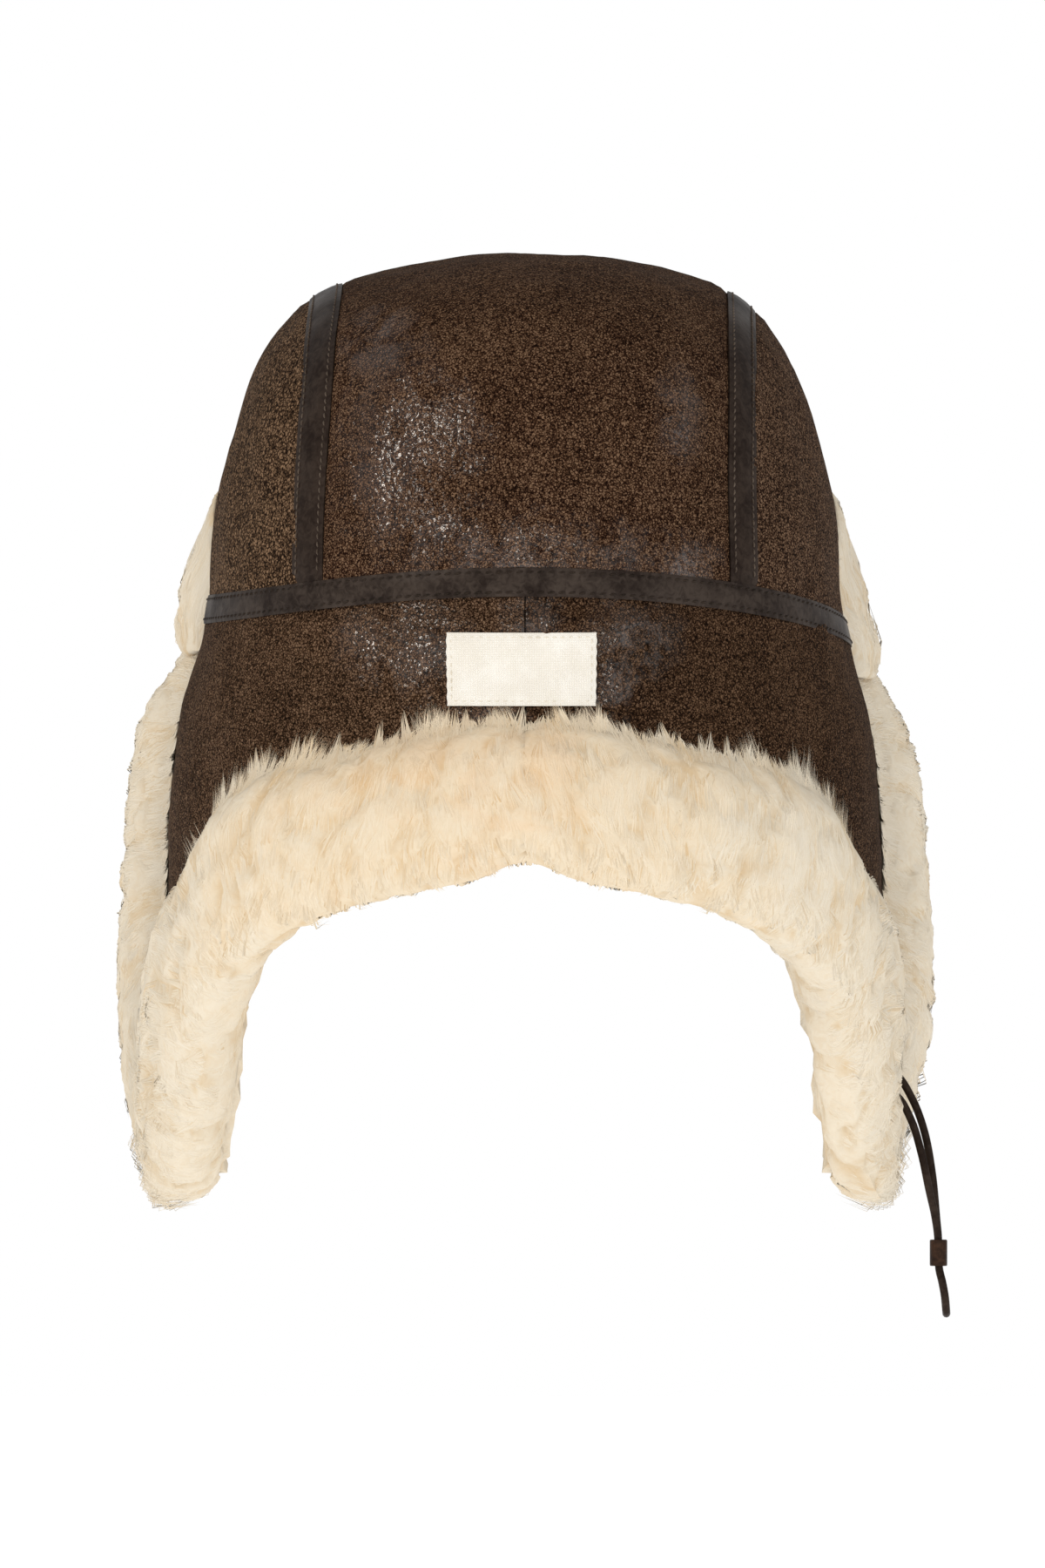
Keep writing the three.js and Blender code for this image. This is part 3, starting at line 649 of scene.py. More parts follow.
def tape_profile(across, along_m, width, pitch):
    """Height of a tape's face over its own underside, from the middle, 0, to the edge, 1."""
    from_edge = (1 - np.abs(across)) * width / 2
    body = 0.00022 + 0.00040 * np.sqrt(np.clip(1 - np.abs(across) ** 4, 0, 1))
    row = np.exp(-(((from_edge - STITCH_INSET) / 0.0006) ** 2))
    beat = 0.5 + 0.5 * np.cos(2 * math.pi * along_m / pitch)
    return body - row * (0.00016 + 0.00020 * beat) - 0.00012 * np.exp(-from_edge / 0.0005) * beat


def make_tape(right):
    columns, rows = 10, 260
    sign = SIGNS[right]
    width = TAPE_WIDTH[right]

    def run_at(s):
        return run_over_crown(sign, sign * (s - 0.5) * width, TAPE_LIFT, rows)

    look = grid_of_runs(columns, rows, run_at)
    angles, shares = run_over_crown(sign, 0.0, TAPE_LIFT, rows)
    line = on_hat(angles, shares, 0.0)[0]
    length = float(np.linalg.norm(np.diff(line, axis=0), axis=1).sum())
    pitch = length / round(length / TAPE_STITCH)

    def place(s, r):
        angle, share = look(s, r)
        flat = on_hat(angle, share, 0.0)[0]
        across = 2 * s - 1
        out = 0.0003 + tape_profile(across, r * length, width, pitch)
        out = out + 0.00014 * wrinkle(flat, 0.0075, 81 + right)
        under_band = smooth_step(np.minimum(r, 1 - r) * length, 0.001, 0.007)
        out = out * (0.45 + 0.55 * under_band)
        return on_hat(angle, share, out)[0]

    tape = laid_grid(f"tape_{SIDES[right]}", columns, rows, place)
    return finish_sheet(tape, TAPE_THICK), (angles, shares, length, pitch)


def band_line(s, across):
    """Angle and height on the band, s from 0 to 1 round the hat from the back."""
    angle = 2 * math.pi * s
    return angle, band_height(angle) + across * BAND_WIDTH / 2


def make_band():
    columns, rows = 640, 10
    s_fine = np.linspace(0, 1, 2001)
    angle, height = band_line(s_fine, 0.0)
    line = on_hat_at(angle, height, 0.0)
    walked = walked_along(line)
    length = float(walked[-1])
    pitch = length / round(length / BAND_STITCH)

    def place(s, r):
        turn = np.interp(s * length, walked, s_fine)
        across = 1 - 2 * r
        angle, height = band_line(turn, across)
        flat = on_hat_at(angle, height, 0.0)
        out = 0.0005 + tape_profile(across, s * length, BAND_WIDTH, pitch)
        ripple = wrinkle(np.round(flat, 6), 0.010, 91)
        join = np.minimum(s, 1 - s) * length
        out = out + 0.00018 * ripple * smooth_step(join, 0.0, 0.01)
        return on_hat_at(angle, height, out)

    band = laid_grid("seam_band", columns, rows, place)
    edit_all(band, merge_corners)
    return finish_sheet(band, BAND_THICK), (s_fine, walked, length, pitch)


tape_left, tape_left_run = make_tape(0)
tape_right, tape_right_run = make_tape(1)
seam_band, band_run = make_band()

# %% [markdown]
# ## Stitches
#
# A machine stitch shows as a short fat thread that dips into the leather at both ends. One
# stitch is modelled from a sphere, drawn out and pinched, and copied along each row with its
# own place and slant. The copies of a row are joined into one mesh.


# %% One stitch and its copies
def make_stitch_shape():
    bpy.ops.object.select_all(action="DESELECT")
    bpy.ops.mesh.primitive_uv_sphere_add(segments=6, ring_count=5, radius=0.5)
    piece = bpy.context.object
    bpy.ops.object.mode_set(mode="EDIT")
    bpy.ops.mesh.select_all(action="SELECT")
    bpy.ops.transform.rotate(value=math.pi / 2, orient_axis="Y", center_override=(0, 0, 0))
    bpy.ops.object.mode_set(mode="OBJECT")
    points = corners_of(piece)
    points[:, 2] -= 1.4 * points[:, 0] ** 2
    faces = [list(p.vertices) for p in piece.data.polygons]
    bpy.data.objects.remove(piece)
    return points, faces


def joined_copies(name, shape, origins, forward, up, size):
    """Copies of a shape as one mesh; x of the shape goes forward and z goes up."""
    points, faces = shape
    side = np.cross(up, forward)
    spread = (
        points[None, :, :1] * forward[:, None] * size[0]
        + points[None, :, 1:2] * side[:, None] * size[1]
        + points[None, :, 2:] * up[:, None] * size[2]
    )
    corners = (origins[:, None] + spread).reshape(-1, 3)
    flat = np.array([v for f in faces for v in f])
    totals = np.array([len(f) for f in faces])
    shift = np.arange(len(origins)) * len(points)
    return mesh_from(name, corners, (flat[None] + shift[:, None]).ravel(),
                     np.tile(totals, len(origins)))


def mesh_from(name, corners, loops, totals, smooth=True):
    data = bpy.data.meshes.new(name)
    data.vertices.add(len(corners))
    data.vertices.foreach_set("co", np.ascontiguousarray(corners, np.float32).ravel())
    data.loops.add(len(loops))
    data.loops.foreach_set("vertex_index", loops.astype(np.int32))
    data.polygons.add(len(totals))
    starts = np.concatenate([[0], np.cumsum(totals)[:-1]])
    data.polygons.foreach_set("loop_start", starts.astype(np.int32))
    data.update(calc_edges=True)
    data.validate()
    data.polygons.foreach_set("use_smooth", np.full(len(data.polygons), smooth))
    piece = bpy.data.objects.new(name, data)
    bpy.context.scene.collection.objects.link(piece)
    return piece


stitch_shape = make_stitch_shape()
print("stitch corners", len(stitch_shape[0]))


# %% Rows of stitches
TAPE_STITCH_SIZE = (0.0020, 0.00062, 0.0007)
BAND_STITCH_SIZE = (0.0026, 0.00078, 0.0008)
PATCH_STITCH_SIZE = (0.0019, 0.00045, 0.0005)


def unit(vectors):
    return vectors / np.maximum(np.linalg.norm(vectors, axis=-1, keepdims=True), 1e-12)


def row_of_stitches(place, length, pitch, slant):
    """Origins and directions of stitches; place(walked, out) gives points on the tape's row."""
    count = int(round(length / pitch))
    walked = (np.arange(count) + 0.5) * pitch
    here = place(walked, 0.0)
    ahead = place(walked + 0.0004, 0.0)
    above = place(walked, 0.001)
    forward = unit(ahead - here)
    up = unit(above - here)
    up = unit(up - forward * (up * forward).sum(1, keepdims=True))
    side = np.cross(up, forward)
    return here, unit(forward + side * slant), up


def make_tape_stitches(right, run):
    angles, shares, length, pitch = run
    sign = SIGNS[right]
    width = TAPE_WIDTH[right]
    parts = []
    for edge in (-1, 1):
        inset = edge * (width / 2 - STITCH_INSET)
        row_angles, row_shares = run_over_crown(sign, inset, TAPE_LIFT, 420)
        walk = np.linspace(0, length, 421)

        def place(walked, out):
            angle = np.interp(walked, walk, row_angles)
            share = np.interp(walked, walk, row_shares)
            return on_hat(angle, share, 0.00085 + out)[0]

        here, forward, up = row_of_stitches(place, length, pitch, 0.16 * edge)
        shown = (np.minimum(np.arange(len(here)), np.arange(len(here))[::-1]) > 1)
        parts.append((here[shown], forward[shown], up[shown]))
    here, forward, up = (np.concatenate(p) for p in zip(*parts))
    return joined_copies(
        f"tape_stitches_{SIDES[right]}", stitch_shape, here, forward, up, TAPE_STITCH_SIZE)


def make_band_stitches(run):
    s_fine, walked_fine, length, pitch = run
    parts = []
    for edge in (-1, 1):
        across = edge * (1 - STITCH_INSET / (BAND_WIDTH / 2))

        def place(walked, out):
            turn = np.interp(walked % length, walked_fine, s_fine)
            angle, height = band_line(turn, across)
            return on_hat_at(angle, height, 0.00098 + out)

        parts.append(row_of_stitches(place, length, pitch, 0.22))
    here, forward, up = (np.concatenate(p) for p in zip(*parts))
    return joined_copies(
        "band_stitches", stitch_shape, here, forward, up, BAND_STITCH_SIZE)


tape_stitches_left = make_tape_stitches(0, tape_left_run)
tape_stitches_right = make_tape_stitches(1, tape_right_run)
band_stitches = make_band_stitches(band_run)
for piece in (tape_stitches_left, tape_stitches_right, band_stitches):
    print(piece.name, count_faces(piece), "triangles")

# %% [markdown]
# ## The woven patch
#
# Under the band a small woven patch is sewn on, its raw edges folded under. The real one
# carries a name, and this one is left bare. It is a thin sheet laid over the seam of the
# skirt, soft at its edges, with a fine running stitch just inside them.

# %% Patch and its stitches
def patch_place(s, r, out):
    left, right, top, bottom = PATCH
    x = left + (right - left) * s
    z = top + (bottom - top) * r
    share = share_at(z)
    half = np.interp(share, side_share, side_curve[:, 0])
    return on_hat(np.arcsin(x / half), share, out)[0]


def make_patch():
    width = PATCH[1] - PATCH[0]
    height = PATCH[2] - PATCH[3]

    def place(s, r):
        edge = np.minimum(np.minimum(s, 1 - s) * width, np.minimum(r, 1 - r) * height)
        rise = 0.0010 + 0.00045 * smooth_step(edge, 0.0, 0.0012)
        rise = rise - 0.00028 * np.exp(-(((edge - 0.0015) / 0.0004) ** 2))
        flat = patch_place(s, r, 0.0)
        rise = rise + 0.00022 * wrinkle(flat, 0.011, 101)
        corner_s = s + 0.0006 / width * np.sin(r * 41.0) * (1 - 2 * s) * 0.2
        return patch_place(corner_s, r, rise)

    return finish_sheet(laid_grid("woven_patch", 72, 38, place), 0.0007)


def make_patch_stitches():
    width = PATCH[1] - PATCH[0]
    height = PATCH[2] - PATCH[3]
    inset = 0.0015
    box = [
        (inset, inset), (width - inset, inset), (width - inset, height - inset),
        (inset, height - inset), (inset, inset),
    ]
    origins, forward = [], []
    for (x0, y0), (x1, y1) in zip(box[:-1], box[1:]):
        length = math.hypot(x1 - x0, y1 - y0)
        count = round(length / 0.0025)
        for k in range(count):
            t = (k + 0.5) / count
            here = np.array([x0 + (x1 - x0) * t, y0 + (y1 - y0) * t])
            ahead = here + np.array([x1 - x0, y1 - y0]) / length * 0.0003
            origins.append(here)
            forward.append(ahead)
    origins = np.array(origins)
    forward = np.array(forward)
    here = patch_place(origins[:, 0] / width, origins[:, 1] / height, 0.00125)
    ahead = patch_place(forward[:, 0] / width, forward[:, 1] / height, 0.00125)
    above = patch_place(origins[:, 0] / width, origins[:, 1] / height, 0.00225)
    forward = unit(ahead - here)
    up = unit(above - here)
    return joined_copies(
        "patch_stitches", stitch_shape, here, forward, up, PATCH_STITCH_SIZE)


woven_patch = make_patch()
patch_stitches = make_patch_stitches()
print(patch_stitches.name, count_faces(patch_stitches), "triangles")

# %% [markdown]
# ## Wool bodies
#
# Wool is too fine to model hair by hair all through, so a soft body holds its bulk and a nap
# of tapered locks lies over it. The body of the turned-up edge is a grid rolled into a closed
# tube: one way it follows the edge of the skirt, the other way it goes round the section of
# the roll. It stands a little lower than the wool's surface, where the locks will lie.

# %% Tufts and the creases between them
def make_waves(count, size, seed):
    """Ways and starts of plain waves that together make an even random field."""
    rng = np.random.default_rng(seed)
    way = unit(rng.normal(0, 1, (count, 3)))
    pace = 2 * math.pi / (size * rng.uniform(0.75, 1.5, count))
    return way * pace[:, None], rng.uniform(0, 2 * math.pi, count)


def waves_at(points, waves):
    pace, start = waves
    return np.cos(points @ pace.T + start).sum(-1) * math.sqrt(2 / len(start))


tuft_waves = make_waves(30, 0.021, 7)
small_waves = make_waves(24, 0.0065, 8)


def partings(points):
    """1 in the creases between the tufts, 0 on the tufts."""
    return np.exp(-((waves_at(points, tuft_waves) / 0.42) ** 2))


def tuft_height(points):
    return 0.0007 - 0.0021 * partings(points) + 0.00024 * waves_at(points, small_waves)


print("tuft field ready")

# %% Body of the turned-up edge
ROLL = np.array([
    (1.0, 0.04), (0.97, 0.5), (0.8, 0.88), (0.52, 1.0), (0.24, 0.86), (0.05, 0.4),
    (0.0, -0.15), (0.08, -0.8), (0.28, -1.08), (0.28, 0.04), (0.52, 0.04), (0.76, 0.04),
])
WOOL_THICK = 0.012
ROLL_INSIDE = WOOL_THICK + LEATHER_THICK + 0.0015


def wool_thickness(right, s):
    """How far the turned-up wool stands out; the foot of the right flap is thinner."""
    row = edge_at(even_t(np.abs(s)))
    return row[5] - right * 0.0042 * smooth_step(-row[2], 0.150, 0.184)


def roll_reach(right, s, out):
    """Distance from the leather's face for a share of the wool's thickness, in metres."""
    outside = np.maximum(out * wool_thickness(right, s), 0.0013)
    return np.where(out > 0, outside, out * ROLL_INSIDE / 1.08)


def puffed(right, s, along, out, reach, tall):
    """A point of the roll, moved straight out of its section by a height."""
    over = unit(np.stack([(along - 0.5) * 0.045, (out + 0.1) * 0.013], -1))
    return border_place(
        right, s, along + over[..., 0] * tall / 0.045, reach + over[..., 1] * tall)[0]


def closed_section(points, count):
    """Even points round a closed smooth section."""
    wrapped = np.vstack([points[-2:], points, points[:3]])
    dense = smooth_curve(wrapped, (len(wrapped) - 1) * 40 + 1)[80:-80]
    scale = dense * np.array([45.0, 13.0])
    walk = walked_along(scale)
    goal = np.linspace(0, walk[-1], count, endpoint=True)
    return np.stack([np.interp(goal, walk, dense[:, k]) for k in (0, 1)], 1)


def finish_wool(piece):
    # The tone is lower in the creases between tufts, a darker cream there: painted shade.
    mark(piece, "tone_and_crease_shade", 0.62 - 0.6 * partings(corners_of(piece)))
    shade_smooth(piece, 80)
    print(piece.name, count_faces(piece), "triangles")
    return piece


def wool_tube(name, columns, around, place):
    """A rolled grid with its seam merged, its two ends filled and its faces turned out."""
    piece = laid_grid(name, columns, around, place)
    edit_all(piece, merge_corners, lambda: bpy.ops.mesh.fill_holes(sides=0), turn_faces_out)
    return finish_wool(piece)


def make_edge_body(right):
    columns, around = 150, 44
    section = closed_section(ROLL, around + 1)

    def place(s, r):
        k = np.rint(r * around).astype(int) % around
        along, out = section[k, 0], section[k, 1]
        reach = roll_reach(right, s, out)
        flat = border_place(right, s, along, reach)[0]
        shown = smooth_step(out, 0.04, 0.3) + smooth_step(-out, -0.04, 0.3)
        return puffed(right, s, along, out, reach, (tuft_height(flat) - 0.0004) * shown)

    return wool_tube(f"edge_wool_{SIDES[right]}", columns, around, place)


edge_wool_left = make_edge_body(0)
edge_wool_right = make_edge_body(1)

# %% [markdown]
# ## Brow flap
#
# At the front a flap of the same skin is turned up and lies against the crown, its wool
# outwards. It has a leather backing and a thick body of wool, like the edge of the skirt. At
# the temples the flap gets low and thin and bends down to the wool of the skirt.

# %% Brow flap
BROW = np.array([
    (98, 17), (101, 26), (107, 35), (118, 44), (135, 53), (155, 59), (180, 61),
])
BROW_ROLL = np.array([
    (0.05, 0), (0.0, 0.35), (0.03, 0.75), (0.2, 0.98), (0.48, 1.0), (0.76, 0.92),
    (0.95, 0.62), (1.0, 0.25), (0.97, 0), (0.74, 0), (0.5, 0), (0.26, 0),
])
BROW_FIRST = 98.0
BROW_INNER = 0.0024
BROW_INSET = 14


def brow_top(degrees):
    away = np.where(degrees > 180, 360 - degrees, degrees)
    return np.interp(away, BROW[:, 0], BROW[:, 1]) * 0.001


def brow_dome(s):
    """Share of the full thickness: the wool rounds off at both ends of the flap."""
    near = np.clip(np.minimum(s, 1 - s) / 0.075, 0, 1)
    return 0.06 + 0.94 * np.sqrt(near * (2 - near))


def brow_place(s, up, out):
    degrees = BROW_FIRST + (360 - 2 * BROW_FIRST) * s
    angle = np.radians(degrees)
    foot = brow_foot(angle)
    near = np.minimum(s, 1 - s)
    end = 1 - smooth_step(near, 0.05, 0.30)
    up = up * (0.80 + 0.20 * brow_dome(s)) - 0.16 * end * (1 - up)
    z = foot + (brow_top(degrees) - foot) * up
    thin = 1 - 0.60 * end * smooth_step(up, 0.30, 0.85)
    inner = 0.0006 + (BROW_INNER + 0.0020) * smooth_step(near, 0.0, 0.07)
    return on_hat(angle, share_at(z), inner + out * 0.010 * brow_dome(s) * thin)


def make_brow_backing():
    def place(s, r):
        first = BROW_FIRST + BROW_INSET
        degrees = first + (360 - 2 * first) * s
        angle = np.radians(degrees)
        low = brow_foot(angle) + 0.003
        height = low + (brow_top(degrees) - 0.004 - low) * r
        return on_hat_at(angle, height, BROW_INNER + LEATHER_THICK)

    return finish_sheet(laid_grid("brow_leather", 90, 16, place), LEATHER_THICK)


def make_brow_body():
    columns, around = 130, 40
    section = closed_section(BROW_ROLL, around + 1)

    def place(s, r):
        k = np.rint(r * around).astype(int) % around
        up, out = section[k, 0], np.maximum(section[k, 1], 0)
        flat = brow_place(s, up, out)[0]
        clump = (tuft_height(flat) - 0.0004) * 140 * smooth_step(out, 0.2, 0.6)
        return brow_place(s, up, out + clump)[0]

    return wool_tube("brow_wool", columns, around, place)


brow_leather = make_brow_backing()
brow_wool = make_brow_body()

# %% [markdown]
# ## Linings
#
# The inside of the hat is wool all over: one deep bowl in the crown and one sheet behind each
# half of the skirt. They are seen from below and from the front. A sheet with a Solidify
# modifier gives the depth, and its inner face is broken into soft tufts.


# %% Linings
def make_crown_lining():
    columns, rows = 104, 30

    def place(s, r):
        angle = 2 * math.pi * s
        front = smooth_step(-np.cos(angle), 0.68, 0.8)
        foot = (band_height(angle) + 0.0004) * (1 - front) + brow_foot(angle) * front
        return on_hat(angle, share_at(foot) * np.maximum(r, 0.002), -0.0031)[0]

    piece = laid_grid("crown_lining_wool", columns, rows, place)
    edit_all(piece, lambda: bpy.ops.mesh.remove_doubles(threshold=0.00005),
             lambda: bpy.ops.mesh.fill_holes(sides=columns - 1))
    return tufted(piece, 131)


def tufted(piece, seed):
    """Gives an open lining its depth and lets its inner face stand in tufts."""
    face_out(piece)
    count = len(piece.data.vertices)
    apply_modifier(piece, "SOLIDIFY", thickness=WOOL_THICK, offset=-1.0)
    points = corners_of(piece)
    inner = points[count:2 * count]
    inwards = -inner
    inwards[:, 2] = -np.clip(inner[:, 2], 0, 0.114) * 1.2
    tall = 0.0006 + 1.2 * tuft_height(inner) + 0.0004 * wrinkle(inner, 0.004, seed)
    points[count:2 * count] = inner + unit(inwards) * tall[:, None]
    set_corners(piece, points)
    return finish_wool(piece)


def make_skirt_lining(right):
    def place(s, r):
        return skirt_place(right, s, r, -0.0044)[0]

    return tufted(laid_grid(f"skirt_lining_{SIDES[right]}", 84, 34, place), 141 + right)


crown_lining = make_crown_lining()
skirt_lining_left = make_skirt_lining(0)
skirt_lining_right = make_skirt_lining(1)

# %% [markdown]
# ## The nap of the wool
#
# The wool lies in fine locks, combed from the free edge towards the leather, and their tips
# reach over the leather in soft wisps. One lock is a slim three-sided spindle. It is made
# once, from a cone, and laid thousands of times: each copy gets its own root, bend and tip on
# the surface, and locks that are near each other lean together into wisps. Every copy also
# carries a tone and the way along it as attributes, which the material reads. The tone
# varies at random, and it is lower in the creases between tufts, which is painted shade.


# %% One lock
def make_lock_shape(bent):
    """Corners as (share along, side, up), and the faces of a closed three-sided spindle."""
    bpy.ops.object.select_all(action="DESELECT")
    bpy.ops.mesh.primitive_cone_add(vertices=3, radius1=0.5, radius2=0.0, depth=1.0)
    piece = bpy.context.object
    if bent:
        edit_all(piece, lambda: bpy.ops.mesh.bisect(plane_co=(0, 0, 0), plane_no=(0, 0, 1)))
    points = corners_of(piece)
    faces = [list(p.vertices) for p in piece.data.polygons]
    bpy.data.objects.remove(piece)
    along = points[:, 2] + 0.5
    ring = unit(np.c_[points[:, 0], points[:, 1]])
    wide = np.select([along < 0.25, along < 0.75], [0.34, 0.5], 0.0)
    high = np.where(ring[:, 1] > 0.5, 0.55, 0.10)
    return np.c_[along, ring[:, 0] * wide * 1.15, ring[:, 1] * wide * high], faces


def copies_of_lock(shape_and_faces, soft, root, bend, tip, up, width, tone_and_crease_shade):
    """Corners, faces and values of copies, each through its own root, bend and tip. The
    softer, the more a lock is shaded like the wool under it and the less like a single thread."""
    shape, faces = shape_and_faces
    along = shape[None, :, :1]
    line = (
        root[:, None] * (1 - along) * (1 - 2 * along)
        + bend[:, None] * 4 * along * (1 - along)
        + tip[:, None] * along * (2 * along - 1)
    )
    forward = unit(tip - root)
    side = unit(np.cross(up, forward))
    above = np.cross(forward, side)
    spread = shape[None, :, 1:2] * side[:, None] + shape[None, :, 2:] * above[:, None]
    corners = (line + spread * width[:, None, None]).reshape(-1, 3)
    normals = unit(soft * up[:, None] + (1.2 - soft) * unit(spread)).reshape(-1, 3)
    flat = np.array([v for f in faces for v in f])
    shift = np.arange(len(root)) * len(shape)
    loops = (flat[None] + shift[:, None]).ravel()
    totals = np.tile([len(f) for f in faces], len(root))
    return corners, normals, loops, totals, np.repeat(tone_and_crease_shade, len(shape)), np.tile(
        shape[:, 0], len(root))


def lay_locks(name, soft, *batches):
    """One mesh of many locks; a batch is a lock's shape and the values for its copies."""
    laid = [copies_of_lock(shape, soft, *values) for shape, values in batches]
    first = np.cumsum([0] + [len(b[0]) for b in laid])
    corners, normals, totals, tone_and_crease_shade, along = (
        np.concatenate([b[k] for b in laid]) for k in (0, 1, 3, 4, 5))
    loops = np.concatenate([b[2] + first[k] for k, b in enumerate(laid)])
    piece = mesh_from(name, corners, loops, totals)
    piece.data.normals_split_custom_set_from_vertices(normals.tolist())
    mark(piece, "tone_and_crease_shade", tone_and_crease_shade)
    mark(piece, "along", along)
    print(name, sum(len(v[0]) for s, v in batches), "locks,", count_faces(piece), "triangles")
    return piece


lock_shape = make_lock_shape(True)
hair_shape = make_lock_shape(False)
print("lock corners", len(lock_shape[0]), "hair corners", len(hair_shape[0]))

# %% [markdown]
# ## Where the locks lie
#
# A place on the wool is told by two numbers: how far along the edge, and how far round the
# roll from the leather. The surface and the direction out of it are worked out from those.
# Roots are scattered evenly with a fixed seed. Each lock belongs to the nearest wisp, and its
# tip is drawn towards the wisp's own line.

# %% Surface of the roll
NAP_ROLL = np.array([
    (-0.40, 1.42, 0.00), (-0.12, 1.13, 0.01), (-0.03, 1.04, 0.06), (0.06, 0.97, 0.46),
    (0.25, 0.80, 0.88), (0.50, 0.52, 1.0), (0.74, 0.24, 0.86), (0.88, 0.05, 0.42),
    (0.95, 0.0, -0.15), (1.04, 0.08, -0.8), (1.14, 0.28, -1.08),
])


def nap_table():
    fine = np.linspace(NAP_ROLL[0, 0], NAP_ROLL[-1, 0], 800)
    table = np.stack([np.interp(fine, NAP_ROLL[:, 0], NAP_ROLL[:, k]) for k in (1, 2)], 1)
    kernel = np.hanning(45)
    kernel /= kernel.sum()
    padded = np.pad(table, ((22, 22), (0, 0)), mode="reflect", reflect_type="odd")
    soft = np.stack([np.convolve(padded[:, k], kernel, "valid") for k in (0, 1)], 1)
    return fine, soft


nap_fine, nap_soft = nap_table()


def roll_surface(right, s, q):
    along = np.interp(q, nap_fine, nap_soft[:, 0])
    out = np.interp(q, nap_fine, nap_soft[:, 1])
    s = np.clip(s, -1, 1)
    reach = np.where(out > 0, out * wool_thickness(right, s), out * ROLL_INSIDE / 1.08)
    reach = np.maximum(reach, np.where(q < 0.5, 0.0002, -1.0))
    flat = border_place(right, s, along, reach)[0]
    return puffed(right, s, along, out, reach, tuft_height(flat) * smooth_step(q, 0.03, 0.25))


def with_normal(surface, a, b, flip):
    """Points of a surface, the unit directions out of it, and its steps for a and for b."""
    here = surface(a, b)
    over_a = (surface(a + 0.008, b) - surface(a - 0.008, b)) / 0.016
    over_b = (surface(a, b + 0.03) - surface(a, b - 0.03)) / 0.06
    return here, unit(np.cross(over_a, over_b)) * flip, over_a, over_b


sample_out = with_normal(
    lambda a, b: roll_surface(1, a, b), np.array([0.2]), np.array([0.5]), -1)[1]
print("direction out of the neck roll", sample_out.round(2))


# %% Wisps and their locks
def dot(one, two):
    return (one * two).sum(-1)


